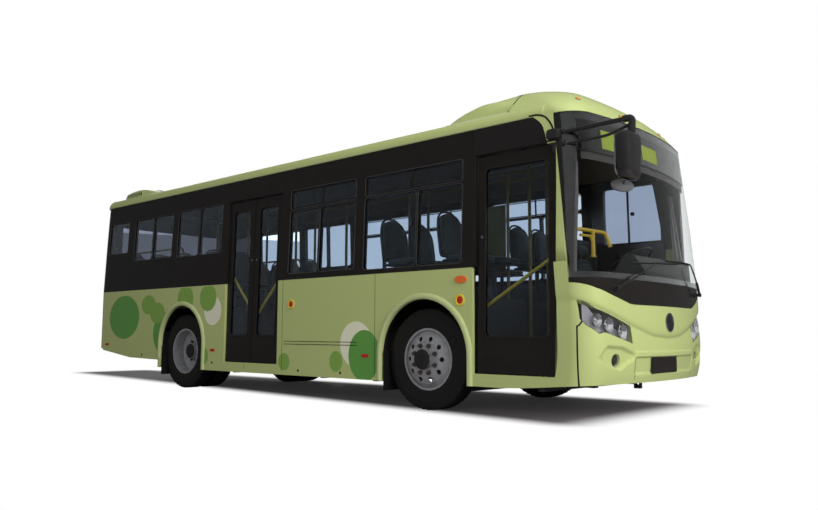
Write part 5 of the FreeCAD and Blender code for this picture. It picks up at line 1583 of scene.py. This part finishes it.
# Doors: rubber edges, glass rubbers, yellow grab tubes and small fittings on each leaf
doorSetup = {
    "front": (3.670, -1, 0.837), "mid_front": (0.010, -1, 0.520), "mid_rear": (-1.120, 1, 0.520),
    "lean": math.atan2(0.05 * 1.032 / 1.297, 1.995), "origin": (-1.105, 0.375), "tall": 1.9954,
    "near": 0.057, "out": -0.075, "in": -0.045, "tube": 0.0165,
}


def doorSpot(name, x, y, z):
    post, free = doorSetup[name][:2]
    lean = doorSetup["lean"]
    y0, z0 = doorSetup["origin"]
    return Vector((post + free * x, y0 + y * math.cos(lean) + z * math.sin(lean),
                   z0 - y * math.sin(lean) + z * math.cos(lean)))


def makeDoors():
    for name in ("front", "mid_front", "mid_rear"):
        width = doorSetup[name][2]
        near, far, tall = doorSetup["near"], width + 0.033, doorSetup["tall"]
        trim = Shape()
        normal = doorSpot(name, 0, -1, 0) - doorSpot(name, 0, 0, 0)
        wide, high = far - near - 0.150, tall - 0.460
        centre = ((near + far) / 2, 0.330 + high / 2)
        for level, way in ((doorSetup["out"], normal), (doorSetup["in"], -normal)):
            outline = [doorSpot(name, x, level, z)
                       for x, z in roundedAt(centre, wide + 0.004, high + 0.004, 0.05, 6)]
            spots = [(p, way) for p in dense(outline, 0.06, True)]
            strip(trim, spots, 0.012, 0.0035, True)
        for x, thick in ((far + 0.0025, 0.0085), (near + 0.004, 0.008)):
            edge = [doorSpot(name, x, -0.060, z) for z in spread(0.012, tall - 0.012, 0.2)]
            trim.tube(edge, thick, 12)
        foot = [doorSpot(name, x, -0.060, 0.012) for x in spread(near + 0.01, far - 0.01, 0.2)]
        trim.tube(foot, 0.008, 10)
        trim.mark = 1
        start, end = (far - 0.0375, 0.30 * tall), (near + 0.0375, 0.52 * tall)
        grab = [doorSpot(name, x, -0.013, z) for x, z in zip(evenly(start[0], end[0], 10),
                                                             evenly(start[1], end[1], 10))]
        trim.tube(grab, doorSetup["tube"], 16)
        for x, z in (start, end):
            trim.lathe([(0.024, 0.0), (0.024, 0.005), (0.0195, 0.010), (0.0195, 0.034)],
                       doorSpot(name, x, -0.045, z), -normal, 24, caps=True)
        trim.mark = 2
        lock = doorSpot(name, far - 0.0375, doorSetup["out"], 0.62 * tall)
        trim.lathe([(0.014, -0.001), (0.014, 0.003), (0.011, 0.005), (0.004, 0.005)], lock, normal,
                   24, caps=True)
        trim.build("doorTrim" + name.title().replace("_", ""), "door_" + name + "_leaf",
                   ["rubber", "yellow", "steel"], "rail_yellow")


makeDoors()
print("doors dressed")


# Seats: crowned cushions and arched backs on shells, with a tube over each back
seatSetup = {
    "width": 0.430, "depth": 0.420, "rake": 0.070, "height": 0.500,
    "crown": 0.020, "pull": 0.007, "channel": 0.005, "tube": 0.0105, "tubeGap": 0.030,
    "driverX": 3.115, "driverY": 0.620, "driverPan": 0.970, "driverFloor": 0.620,
}


def archOutline(half, side, top, foot=0.0, corner=0.045, steps=16):
    # flat foot with rounded corners, straight sides and a round arched top
    points = []
    for middle, start in ((corner - half, math.pi), (half - corner, -math.pi / 2)):
        for k in range(6):
            turn = start + math.pi / 2 * k / 5
            points.append((middle + corner * math.cos(turn), foot + corner + corner * math.sin(turn)))
    for turn in evenly(0, math.pi, steps):
        points.append((half * bent(math.cos(turn), 0.8), side + (top - side) * abs(math.sin(turn)) ** 0.85))
    return points


def addPad(shape, outline, origin, across, up, out, thick, crown, pull=0.0, channel=0.0, gap=0.03):
    # closed cushion: crowned faces, sides pulled in between the corners, a sewn channel inside the rim
    across, up, out = Vector(across), Vector(up), Vector(out)
    flat = dense([(u, v, 0) for u, v in outline], gap, closed=True)
    middle = sum(flat, Vector()) / len(flat)
    widest = max((p - middle).length for p in flat)

    def level(share, lift):
        ring = []
        for p in flat:
            away = p - middle
            drawn = 1 - pull / widest * (1 - (away.length / widest) ** 4) * 2.2
            spot = middle + away * share * drawn
            ring.append(Vector(origin) + across * spot.x + up * spot.y + out * lift)
        return ring

    front = [(0.02, thick + crown), (0.30, thick + crown * 0.93), (0.55, thick + crown * 0.74),
             (0.74, thick + crown * 0.46), (0.80, thick + crown * 0.30 - channel),
             (0.84, thick + crown * 0.26 - channel), (0.90, thick + crown * 0.16), (0.955, thick - 0.003),
             (0.99, thick - 0.012), (1.0, thick * 0.55), (0.992, thick * 0.20), (0.965, 0.0), (0.5, -0.001),
             (0.02, -0.001)]
    shape.rings([level(share, lift) for share, lift in front], caps=True)


def seatSpots():
    spots = []
    for low, high in islands("passenger_seats"):
        spots.append((low.x + seatSetup["rake"], (low.y + high.y) / 2, low.z))
    return spots


def backAxes():
    up = Vector((-seatSetup["rake"], 0, seatSetup["height"])).normalized()
    return up, Vector((0, 1, 0)).cross(up)


def makeSeats():
    pads, shells, tubes = Shape(), Shape(), Shape()
    up, ahead = backAxes()
    half = seatSetup["width"] / 2
    padBack = archOutline(half - 0.022, 0.235, 0.425)
    shellBack = archOutline(half - 0.006, 0.245, 0.448)
    cushion = roundedOutline(seatSetup["width"] - 0.03, 0.365, 0.07, 5)
    pan = roundedOutline(seatSetup["width"] - 0.012, 0.400, 0.06, 5)
    for x, y, z in seatSpots():
        across = Vector((0, 1, 0))
        addPad(pads, cushion, (x + 0.232, y, z + 0.030), across, (1, 0, 0), (0, 0, 1), 0.038,
               seatSetup["crown"], seatSetup["pull"], seatSetup["channel"])
        back = Vector((x + 0.012, y, z + 0.050))
        addPad(pads, padBack, back + ahead * 0.020 + up * 0.035, across, up, ahead, 0.022,
               seatSetup["crown"], seatSetup["pull"], seatSetup["channel"])
        shell = archLevels(shellBack, back, across, up, ahead)
        shells.rings(shell, caps=True)
        addPad(shells, pan, (x + 0.215, y, z + 0.004), across, (1, 0, 0), (0, 0, 1), 0.026, 0.001)
        arch = []
        for turn in evenly(0, math.pi, 18):
            lift = 0.300 + (0.448 + seatSetup["tubeGap"] - 0.300) * abs(math.sin(turn)) ** 0.8
            arch.append(back + across * (half - 0.045) * bent(math.cos(turn), 0.8)
                        + up * lift - ahead * 0.004)
        arch = [arch[0] - up * 0.10] + arch + [arch[-1] - up * 0.10]
        tubes.tube(arch, seatSetup["tube"], 10)
    cover = pads.build("seatCushions", "body", ["seat"], "seat_green", ["passenger_seats"], 60)
    shells.build("seatShells", "body", ["seatShell"], "seat_green")
    tubes.build("seatHandles", "body", ["plastic"], "trim_black")


def archLevels(outline, origin, across, up, ahead):
    flat = dense([(u, v, 0) for u, v in outline], 0.03, closed=True)
    middle = sum(flat, Vector()) / len(flat)
    rings = []
    for share, lift in ((0.02, 0.019), (0.6, 0.019), (0.93, 0.021), (1.0, 0.026), (1.012, 0.018),
                        (1.0, 0.006), (0.93, -0.004), (0.7, -0.013), (0.4, -0.017), (0.02, -0.019)):
        ring = []
        for p in flat:
            spot = middle + (p - middle) * share
            ring.append(origin + across * spot.x + up * spot.y + ahead * lift)
        rings.append(ring)
    return rings


def makeDriverSeat():
    pads, base = Shape(), Shape()
    up, ahead = backAxes()
    x = seatSetup["driverX"] - seatSetup["depth"] / 2
    y, z = seatSetup["driverY"], seatSetup["driverPan"]
    across = Vector((0, 1, 0))
    flat, leaning = (across, (1, 0, 0), (0, 0, 1)), (across, up, ahead)
    back = Vector((x + 0.02, y, z + 0.075))
    addPad(pads, roundedOutline(0.44, 0.40, 0.08, 6), (x + 0.225, y, z + 0.035), *flat,
           0.060, 0.022, 0.008, 0.006)
    for side in (1, -1):
        addPad(pads, roundedOutline(0.07, 0.38, 0.03, 5), (x + 0.225, y + side * 0.195, z + 0.075), *flat,
               0.035, 0.010, 0.003)
    addPad(pads, archOutline(0.205, 0.30, 0.50, 0.0, 0.06), back, *leaning, 0.060, 0.024, 0.008, 0.006)
    for side in (1, -1):
        wing = back + up * 0.19 + across * side * 0.175 + ahead * 0.045
        addPad(pads, roundedOutline(0.06, 0.30, 0.028, 5), wing, *leaning, 0.035, 0.010, 0.003)
    addPad(pads, roundedOutline(0.25, 0.13, 0.05, 6), back + up * 0.585, *leaning, 0.060, 0.014, 0.004)
    for side in (1, -1):
        base.tube([back + up * 0.46 + across * side * 0.05 + ahead * 0.03,
                   back + up * 0.56 + across * side * 0.05 + ahead * 0.03], 0.008, 10)
        arm = [back + up * 0.20 + across * side * 0.225,
               back + up * 0.20 + across * side * 0.235 + ahead * 0.10,
               back + up * 0.205 + across * side * 0.235 + ahead * 0.26]
        base.tube(roundedPath(arm, 0.05), 0.020, 12, flat=0.7)
    base.block((x + 0.03, y - 0.19, z - 0.02), (x + 0.40, y + 0.19, z + 0.036), 0.012)
    rings = []
    floorZ = seatSetup["driverFloor"]
    for k in range(15):
        drop = (z - 0.02 - floorZ - 0.05) * k / 14
        grow = 0.012 * (1 if k % 2 else -1) if 0 < k < 14 else 0.0
        outline = roundedOutline(0.30 + grow * 2, 0.26 + grow * 2, 0.05, 4)
        rings.append([(x + 0.21 + v, y + u, z - 0.02 - drop) for u, v in outline])
    base.rings(rings, caps=True)
    base.block((x + 0.03, y - 0.17, floorZ), (x + 0.40, y + 0.17, floorZ + 0.052), 0.008)
    cover = pads.build("driverSeatCushions", "body", ["seat"], "driver_fabric", ["driver_seat"], 60)
    base.build("driverSeatBase", "body", ["plastic"], "trim_black")


makeSeats()
makeDriverSeat()
print("seats made")


# Driver's place: steering wheel, instrument hood, knobs and levers, rail, mirror, curtain, window frames
driverSetup = {
    "tilt": math.radians(30), "ring": 0.225, "tube": 0.0145,
    "hood": (0.62, 0.26, 1.452),
    "rail": ((3.722, -1.085, 1.575), (3.694, -0.945, 1.638), (3.780, -0.606, 1.627), (3.815, -0.585, 1.50)),
    "lowRail": ((3.702, -0.915, 1.586), (3.738, -0.800, 1.583)), "railPost": (3.748, -0.775, 1.632),
    "mirror": (3.755, -0.196, 2.120, 0.122, 0.066),
    "mirrorBack": ((0.02, 0.012), (0.7, 0.011), (0.95, 0.008), (1.0, 0.0), (0.95, -0.010), (0.6, -0.022),
                   (0.02, -0.026)),
    "mirrorGlass": ((0.02, 0.002), (0.9, 0.001), (1.0, -0.001)),
    "bars": (((3.180, 1.158, 1.745), (3.180, 1.137, 2.375)), ((3.600, 1.160, 1.70), (3.483, 1.138, 2.372)),
             ((2.90, 1.158, 1.742), (3.58, 1.158, 1.742))),
    "sill": ((-3.70, 1.900), (-2.32, 1.900), (-2.255, 1.790)), "sillY": (1.055, 1.120),
    "sillPosts": (-3.66, -2.98), "knob": (3.233, 1.148, 2.066), "panel": (2.247, 2.519, -0.30, 1.374, 2.057),
    "curtain": ((3.705, 0.092), (3.668, 0.034), 1.505, 2.205),
    "quarter": ((3.484, 2.395), (3.668, 2.395), (3.668, 2.205), (3.702, 1.640), (3.604, 1.640)),
}


def wheelAxis():
    tilt = driverSetup["tilt"]
    return Vector((-math.sin(tilt), 0, math.cos(tilt)))


def makeSteeringWheel():
    wheel = Shape()
    axis = wheelAxis()
    centre = nodeSpan("steering_wheel")[2]
    side = Vector((0, 1, 0))
    ahead = side.cross(axis)
    ring = [centre + (side * math.cos(t) + ahead * math.sin(t)) * driverSetup["ring"]
            for t in turnsOf(72)]
    wheel.tube(ring, driverSetup["tube"], 14, closed=True)
    wheel.lathe([(0.001, -0.034), (0.040, -0.034), (0.052, -0.020), (0.066, 0.004), (0.064, 0.014),
                 (0.050, 0.020), (0.020, 0.023), (0.001, 0.0235)], centre, axis, 40)
    for k in range(3):
        turn = math.radians(90 + 120 * k)
        way = -(ahead * math.sin(turn) - side * math.cos(turn))
        path = [centre + way * r - axis * (0.012 * math.sin(math.pi * (r - 0.05) / 0.17))
                for r in spread(0.050, driverSetup["ring"] - 0.002, 0.022)]
        wheel.tube(path, 0.019, 12, flat=0.42, up=axis)
    wheel.build("steeringWheelRing", "steering_wheel", ["plastic"], "trim_black", ["steering_wheel"])


def makeDash():
    dash, dials = Shape(), Shape()
    cy, half, top = driverSetup["hood"]
    rings = []
    for x, lift, share in ((3.86, -0.06, 1.10), (3.82, 0.012, 1.04), (3.74, 0.040, 1.0), (3.685, 0.046, 0.98),
                           (3.668, 0.030, 0.965), (3.672, 0.010, 0.95)):
        ring = []
        for turn in evenly(0, math.pi, 24):
            ring.append((x, cy + half * share * bent(math.cos(turn), 0.75),
                         top - 0.09 + (0.09 + lift) * abs(math.sin(turn)) ** 0.6))
        ring += [(x, cy - half * share * 0.9, top - 0.105), (x, cy + half * share * 0.9, top - 0.105)]
        rings.append(ring)
    dash.rings(rings, caps=True)
    face = Vector((3.664, cy, top - 0.035))
    for shift, radius in ((-0.115, 0.050), (0.115, 0.050), (0.0, 0.030)):
        spot = face + Vector((0.006, shift, 0))
        dials.mark = 0
        dials.lathe([(radius, 0.0), (radius, 0.008), (radius * 0.92, 0.008), (radius * 0.90, 0.003),
                     (0.001, 0.003)], spot, (-1, 0, 0.25), 36, caps=True)
        dials.mark = 1
        needle = [spot + Vector((-0.005, 0, 0)), spot + Vector((-0.006, radius * 0.55, radius * 0.5))]
        dials.tube(needle, 0.0016, 6)
    dials.mark = 0
    for k in range(7):
        y = cy + 0.06 * (k - 3)
        dials.block((3.655, y - 0.018, top - 0.163), (3.682, y + 0.018, top - 0.137), 0.003, 0)
    dials.mark = 2
    for y in (0.30, -0.20):
        dials.block((3.71, y - 0.07, 1.452), (3.80, y + 0.07, 1.462), 0.003, 2)
    for k in range(5):
        y = -0.05 + 0.07 * k
        dials.lathe([(0.016, 0), (0.016, 0.004), (0.011, 0.014), (0.001, 0.016)], (3.76, y, 1.449),
                    (0, 0, 1), 20, caps=True)
    dash.build("instrumentHood", "body", ["dash"], "trim_black")
    dials.build("instruments", "body", ["hub", "ceiling", "plastic"], "trim_black")


def makeEntryRails():
    rails = Shape()
    rails.tube(roundedPath(driverSetup["rail"], 0.045, 8), 0.0165, 14)
    px, py, z = driverSetup["railPost"]
    spot = makeTree(["floor", "dashboard"]).ray_cast(Vector((px, py, z)), Vector((0, 0, -1)))[0]
    pz = spot.z - 0.004 if spot else 1.40
    rails.tube([(px, py, pz), (px, py, z)], 0.0165, 14)
    start, end = driverSetup["lowRail"]
    rails.tube(roundedPath([start, end, (px, py, end[2] - 0.065)], 0.02), 0.012, 12)
    rails.lathe([(0.030, 0.0), (0.030, 0.006), (0.019, 0.010)], (px, py, pz + 0.006), (0, 0, 1),
                24, caps=True)
    rails.build("entryRails", "body", ["yellow"], "rail_yellow")


def addCabMirror(misc):
    mx, my, mz, wide, tall = driverSetup["mirror"]
    out = Vector((-0.80, 0.52, -0.22)).normalized()
    side = out.cross(Vector((0, 0, 1))).normalized()
    top = side.cross(out)
    for mark, lift, share in ((0, 0.0, 1.0), (1, 0.0125, 0.93)):
        misc.mark = mark
        levels = []
        for s, extra in driverSetup["mirrorBack"] if mark == 0 else driverSetup["mirrorGlass"]:
            levels.append([Vector((mx, my, mz)) + side * wide * share * s * math.cos(t)
                           + top * tall * share * s * math.sin(t) + out * (lift + extra)
                           for t in turnsOf(44)])
        misc.rings(levels, caps=True)
    misc.mark = 2
    hang = Vector((mx, my, mz)) - out * 0.022
    stem = [hang, hang + Vector((0.02, 0.0, 0.07)), hang + Vector((0.015, 0.0, 0.19))]
    misc.tube(roundedPath(stem, 0.03), 0.008, 10)


def makeCabFittings():
    misc = Shape()
    addCabMirror(misc)
    x0, x1, y, z0, z1 = driverSetup["panel"]
    misc.mark = 3
    misc.block((x0, y - 0.012, z0), (x1, y + 0.012, z1), 0.006, 1)
    misc.mark = 4
    low, high, z0, z1 = driverSetup["curtain"]
    folds = []
    for k in range(29):
        t = k / 28
        foot, head = low[0] + low[1] * t, high[0] + high[1] * t
        y = 1.075 + 0.006 * math.sin(t * 4 * math.pi)
        folds.append([(foot, y, z0), (head, y, z1), (head, y + 0.004, z1), (foot, y + 0.004, z0)])
    misc.rings(folds, caps=True)
    misc.mark = 2
    misc.slab([(x, 1.100, z) for x, z in driverSetup["quarter"]], (0, 0.006, 0), 0.001)
    # frame of the panel behind the door, and the low rail along the rear windows
    x0, x1, y, z0, z1 = driverSetup["panel"]
    misc.mark = 5
    misc.tube([(x1 + 0.03, y, 1.05), (x1 + 0.03, y, 2.40)], 0.016, 12)
    misc.tube([(x0 - 0.02, y, z0 - 0.02), (x1 + 0.03, y, z0 - 0.02)], 0.014, 12)
    near, wall = driverSetup["sillY"]
    height = driverSetup["sill"][0][1]
    for side in (1, -1):
        sill = [(x, side * near, z) for x, z in driverSetup["sill"]]
        misc.tube(roundedPath(sill, 0.05), 0.0155, 12)
        for x in driverSetup["sillPosts"]:
            misc.tube([(x, side * near, height), (x, side * wall, height)], 0.010, 8)
    misc.build("cabFittings", "body", ["panel", "mirrorGlass", "plastic", "olive", "curtain",
                                        "shadedRailYellow"], "trim_black")


def makeDriverFrames():
    frames = Shape()
    for path in driverSetup["bars"]:
        frames.tube(path, 0.013, 10, flat=0.7)
    frames.lathe([(0.022, 0.0), (0.022, -0.012), (0.014, -0.020), (0.001, -0.021)],
                 driverSetup["knob"], (0, 1, 0), 20, caps=True)
    frames.build("driverWindowFrame", "body", ["rubber"], "trim_black")


liningSetup = {
    "from": -4.02, "to": 3.38, "half": 1.06, "top": 2.715, "drop": 0.26, "power": 3.2, "thick": 0.006,
    "duct": ((-3.9, 0.60, 2.655), (2.6, 0.72, 2.672)),
}


def makeLining():
    lining = Shape()
    rows = []
    half, thick = liningSetup["half"], liningSetup["thick"]
    for x in spread(liningSetup["from"], liningSetup["to"], 0.37):
        arc = [(x, y, liningSetup["top"] - liningSetup["drop"] * (abs(y) / half) ** liningSetup["power"])
               for y in evenly(-half, half, 24)]
        rows.append(arc + [(px, py, pz + thick) for px, py, pz in reversed(arc)])
    lining.rings(rows, caps=True)
    lining.mark = 1
    (x0, y0, z0), (x1, y1, z1) = liningSetup["duct"]
    for side in (1, -1):
        near, far = sorted((side * y0, side * y1))
        lining.block((x0, near, z0), (x1, far, z1), thick, 0)
    lining.build("ceilingLining", "body", ["ceiling", "panel"], "floor_grey")


makeSteeringWheel()
makeDash()
makeEntryRails()
makeCabFittings()
makeDriverFrames()
makeLining()
print("cab and lining made")


# Screen frame with slender corner posts, so that the glass wraps round the corners
frameSetup = {"postX": 3.785, "low": 1.252, "high": 2.300, "inside": 0.90, "outside": 1.30}


def makeScreenFrame():
    mesh = nodes["front_frame"].data.copy()
    frameCopy = linked("screenFrame", mesh)
    for side in (1, -1):
        cutter = Shape()
        y0, y1 = sorted((side * frameSetup["inside"], side * frameSetup["outside"]))
        corners = [(frameSetup["postX"], y0), (4.5, y0), (4.5, y1), (frameSetup["postX"], y1)]
        cutter.rings([[(x, y, z) for x, y in corners]
                      for z in (frameSetup["low"], frameSetup["high"])], caps=True)
        cutMesh(frameCopy, cutter)
    smoothMesh(mesh, 32.0)
    dressed(frameCopy, "body", ["front_frame"])


makeScreenFrame()
print("screen frame made")


# Roof: seams, a painted highlight along the pod's foot, grille, marker lamps and hatch rubber
roofSetup = {
    "markers": ((3.695, -0.900), (3.700, 0.912), (3.86, -0.42), (3.86, 0.42)),
    "grille": (-4.105, -3.640, 2.838, 0.033), "slats": 3, "ventLines": (-3.45, -3.80),
    "roofLines": (-1.2, 0.95), "fanX": -3.62,
}


podSetup = {"start": 2.245, "side": 1.024, "foot": 2.772, "bed": 2.700, "blend": 0.45, "corner": 0.955,
            "rise": ((2.27, -0.02), (2.30, 0.004), (2.36, 0.042), (2.44, 0.080), (2.54, 0.115), (2.65, 0.142),
                     (2.80, 0.168), (2.95, 0.184), (3.10, 0.190), (3.20, 0.192))}
ventSetup = {"half": 0.955, "top": (
    (-4.172, 2.775), (-4.166, 2.828), (-4.148, 2.855), (-4.110, 2.878), (-4.02, 2.899),
    (-3.90, 2.910), (-3.76, 2.915), (-3.62, 2.905), (-3.44, 2.872),
    (-3.26, 2.828), (-3.14, 2.786), (-3.10, 2.750))}


def makePod():
    # hump behind the front dome: its sides stand up from the roof's shoulder
    pod = Shape()
    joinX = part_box("roof_pod")[1].x
    side, corner = podSetup["side"], podSetup["corner"]
    across = [side * bent(k / 24, 0.7) for k in range(-24, 25)]
    bed = [onRoof(1.0, y)[0].z for y in across]
    dome = [(onRoof(joinX + 0.01, y)[0] or Vector((0, 0, podSetup["foot"]))).z for y in across]
    rings = []
    for x in spread(podSetup["start"], joinX, 0.025):
        high = smoothAlong(podSetup["rise"], x, 0.02)
        blend = rise(x, joinX - podSetup["blend"], joinX)
        ring = []
        for y, low, cap in zip(across, bed, dome):
            edge = max(0.0, (abs(y) - corner) / (side - corner))
            z = low - 0.004 + high * (1 - min(1.0, edge) ** 2.6) ** (1 / 2.6) if high > 0 else low + high
            ring.append((x, y, z * (1 - blend) + min(cap, 3.0295) * blend))
        ring += [(x, side, podSetup["bed"]), (x, -side, podSetup["bed"])]
        rings.append(ring)
    pod.rings(rings, caps=True)
    pod.build("roofPod", "body", ["green"], "roof_green", ["roof_pod"], 50)
    return BVHTree.FromPolygons(pod.points, pod.faces)


def makeVent():
    vent = Shape()
    half, top = ventSetup["half"], ventSetup["top"]
    middleX = (top[0][0] + top[-1][0]) / 2
    rings = []
    ends = ((1.0, 0.035, 0.040), (0.985, 0.012, 0.014), (0.96, 0.003, 0.004), (0.93, 0.0, 0.0))
    for y, shrink, drop in [(-y, a, b) for y, a, b in ends] + list(reversed(ends)):
        ring = [(x + (shrink if x < middleX else -shrink), y * half, z - drop * (z > 2.80))
                for x, z in top]
        ring += [(ring[-1][0], ring[-1][1], 2.69), (ring[0][0], ring[0][1], 2.69)]
        rings.append(ring)
    vent.rings(rings, caps=True)
    vent.build("roofVent", "body", ["green"], "roof_green", ["roof_vent"], 50)
    return BVHTree.FromPolygons(vent.points, vent.faces)


podTree, ventTree = makePod(), makeVent()


def podFoot(side, start, end, gap):
    return [(Vector((x, side * podSetup["side"], podSetup["foot"])), Vector((0, side, 0.3)).normalized())
            for x in spread(start, end, gap)]


def makeHatchTrim():
    low, high, centre = nodeSpan("roof_hatch")
    rim = roundedAt(centre, high.x - low.x - 0.10, high.y - low.y - 0.10, 0.06)
    lid = Shape()
    onLid = downCast(makeTree(["roof_hatch"]))
    strip(lid, found(onLid, rim), 0.030, 0.008, True)
    lid.mark = 1
    lid.lathe([(0.12, -0.001), (0.12, 0.010), (0.105, 0.018), (0.04, 0.022), (0.001, 0.0225)],
              onLid(centre.x, centre.y)[0], (0, 0, 1), 48, caps=True)
    lid.build("hatchTrim", "roof_hatch", ["lip", "ceiling"], "roof_green")


def makeRoofSeamsAndHighlight():
    seams = Shape()
    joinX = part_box("roof_pod")[1].x
    for side in (1, -1):
        across = [(joinX - 0.008, side * y) for y in spread(0.62, 1.012, 0.02)]
        strip(seams, laid(downCast(podTree), across), 0.010, 0.0012)
    seams.mark = 1
    # painted highlight: a light strip along each foot of the pod stands for the highlight on the pod's lower
    # edge
    for side in (1, -1):
        strip(seams, podFoot(side, podSetup["start"] + 0.07, joinX - 0.06, 0.05), 0.014, 0.006)
    seams.mark = 0
    for side in (1, -1):
        strip(seams, podFoot(side, joinX - 0.06, joinX, 0.02), 0.018, 0.008)
    for x in roofSetup["roofLines"]:
        strip(seams, laid(onRoof, [(x, y) for y in spread(-1.06, 1.06, 0.04)], 0.04), 0.010, 0.002)
    for x in roofSetup["ventLines"]:
        line = found(downCast(ventTree), [(x, y) for y in spread(-0.86, 0.86, 0.05)])
        strip(seams, line, 0.006, 0.0008)
    seams.build("roofSeamsAndHighlight", "body", ["rubber", "podHighlight"], "trim_black")


def makeVentTrim():
    grille = Shape()
    x0, x1, z, half = roofSetup["grille"]
    centre = ((x0 + x1) / 2, z)
    for side in (1, -1):
        onVent = sideCast(side, ventTree)
        spots = [onVent(*spot) for spot in roundedAt(centre, x1 - x0, half * 2, half * 0.6, 6)]
        if any(place is None for place, normal in spots):
            print("the vent's side is lower than its grille")
            continue
        grille.mark = 0
        strip(grille, spots, 0.012, 0.006, True)
        grille.mark = 1
        inner = roundedAt(centre, x1 - x0 - 0.01, half * 2 - 0.01, half * 0.55, 6)
        patch(grille, onVent, inner, 0.0012, 0.002, 0.03)
        grille.mark = 0
        for k in range(roofSetup["slats"]):
            height = z + half * (2 * (k + 0.5) / roofSetup["slats"] - 1) * 0.9
            slat = [onVent(x, height) for x in spread(x0 + 0.03, x1 - 0.03, 0.05)]
            strip(grille, slat, 0.011, 0.006)
    grille.mark = 1
    for y in spread(-0.66, 0.66, 0.22):
        fan = downCast(ventTree)(roofSetup["fanX"], y)[0]
        grille.lathe([(0.085, -0.002), (0.085, 0.004), (0.078, 0.006), (0.072, 0.003), (0.030, 0.003),
                      (0.026, 0.007), (0.001, 0.0075)], fan, (0, 0, 1), 36, caps=True)
    grille.build("roofGrilles", "body", ["lip", "hub"], "roof_green")


def makeMarkers():
    lamps = Shape()
    for x, y in roofSetup["markers"]:
        place, normal = onRoof(x, y)
        lamps.mark = 0
        lamps.lathe([(0.026, -0.003), (0.026, 0.004), (0.022, 0.007), (0.020, 0.004)], place, normal,
                    30, caps=True)
        lamps.mark = 1
        lamps.lathe([(0.020, 0.002), (0.020, 0.009), (0.015, 0.014), (0.006, 0.0165), (0.001, 0.017)],
                    place, normal, 30, caps=True)
    lamps.build("markerLamps", "body", ["chrome", "amber"], "lamp_red")


# Tail: lamp clusters, engine door louvres and handle, window rubber, plate place, high brake lamp
tailSetup = {
    "lampY": (1.002, 1.118), "lampZ": (0.762, 1.178), "plate": (0.0, 1.42, 0.50, 0.125),
    "louvres": (-0.62, 0.62, 0.67, 1.10, 12), "handle": (0.0, 0.622, 0.17),
    "brake": (0.0, 2.52, 0.34, 0.035), "bumperZ": 0.560,
}


def makeTail():
    lamps, trim = Shape(), Shape()
    y0, y1 = tailSetup["lampY"]
    z0, z1 = tailSetup["lampZ"]
    parts = (("red", z0, z0 + 0.155), ("red", z0 + 0.163, z0 + 0.255), ("amber", z0 + 0.263, z0 + 0.345),
             ("clearLens", z0 + 0.353, z1))
    for side in (1, -1):
        middleY = side * (y0 + y1) / 2
        for kind, low, high in parts:
            lamps.mark = ("red", "amber", "clearLens").index(kind)
            outline = roundedAt((middleY, (low + high) / 2), y1 - y0 - 0.006, high - low, 0.018)
            patch(lamps, onTail, outline, 0.014, 0.002, 0.02)
        trim.mark = 0
        rim = roundedAt((middleY, (z0 + z1) / 2), y1 - y0 + 0.012, z1 - z0 + 0.012, 0.024)
        strip(trim, laid(onTail, rim, 0.03, True), 0.010, 0.007, True)
    low, high, centre = nodeSpan("rear_window")
    rim = roundedAt((centre.y, centre.z), high.y - low.y + 0.010, high.z - low.z + 0.010, 0.06, 6)
    strip(trim, laid(onTail, rim, 0.04, True), 0.022, 0.008, True)
    y, z, wide, tall = tailSetup["plate"]
    trim.mark = 1
    addPlate(trim, onTail, y, z, wide, tall, 0.010, 0.012, 0.03)
    trim.mark = 0
    frameLine = roundedAt((y, z), wide + 0.03, tall + 0.03, 0.02)
    strip(trim, laid(onTail, frameLine, 0.03, True), 0.012, 0.012, True)
    for y in (-0.30, 0.30):
        addPlate(trim, onTail, y, z + 0.10, 0.09, 0.030, 0.016, 0.010)
    for y in spread(-1.04, 1.04, 2.08):
        addPlate(trim, onTail, y, tailSetup["bumperZ"], 0.030, 0.030, 0.002, 0.0149, 0.006)
    strip(trim, laid(onTail, [(-1.12, 0.530), (1.12, 0.530)], 0.05), 0.008, 0.002)
    y, z, wide, tall = tailSetup["brake"]
    lamps.mark = 0
    addPlate(lamps, onTail, y, z, wide, tall, 0.010, 0.014, 0.02)
    lamps.build("tailLamps", "body", ["red", "amber", "clearLens"], "lamp_red")
    trim.build("tailTrim", "body", ["rubber", "black"], "trim_black")


def makeEngineDoorTrim():
    door = Shape()
    ya, yb, za, zb, count = tailSetup["louvres"]
    for z in evenly(za, zb, count - 1):
        for a, b in ((ya, ya + 0.38), (ya + 0.43, yb - 0.43), (yb - 0.38, yb)):
            door.mark = 0
            strip(door, laid(onTail, [(a, z), (b, z)], 0.06), 0.022, 0.010)
            door.mark = 1
            strip(door, laid(onTail, [(a + 0.004, z - 0.0155), (b - 0.004, z - 0.0155)], 0.06), 0.009, 0.0008)
    y, z, wide = tailSetup["handle"]
    door.mark = 1
    addPlate(door, onTail, y, z, wide, 0.045, 0.008, 0.014, 0.015)
    door.mark = 2
    addPlate(door, onTail, y, z, wide * 0.6, 0.020, 0.016, 0.008, 0.01)
    for y in (-0.70, 0.70):
        addPlate(door, onTail, y, z, 0.034, 0.034, 0.005, 0.0169, 0.006)
    door.build("engineDoorTrim", "engine_door", ["green", "hub", "steel"], "body_green")


makeHatchTrim()
makeRoofSeamsAndHighlight()
makeVentTrim()
makeMarkers()
makeTail()
makeEngineDoorTrim()
print("roof and tail trim made")
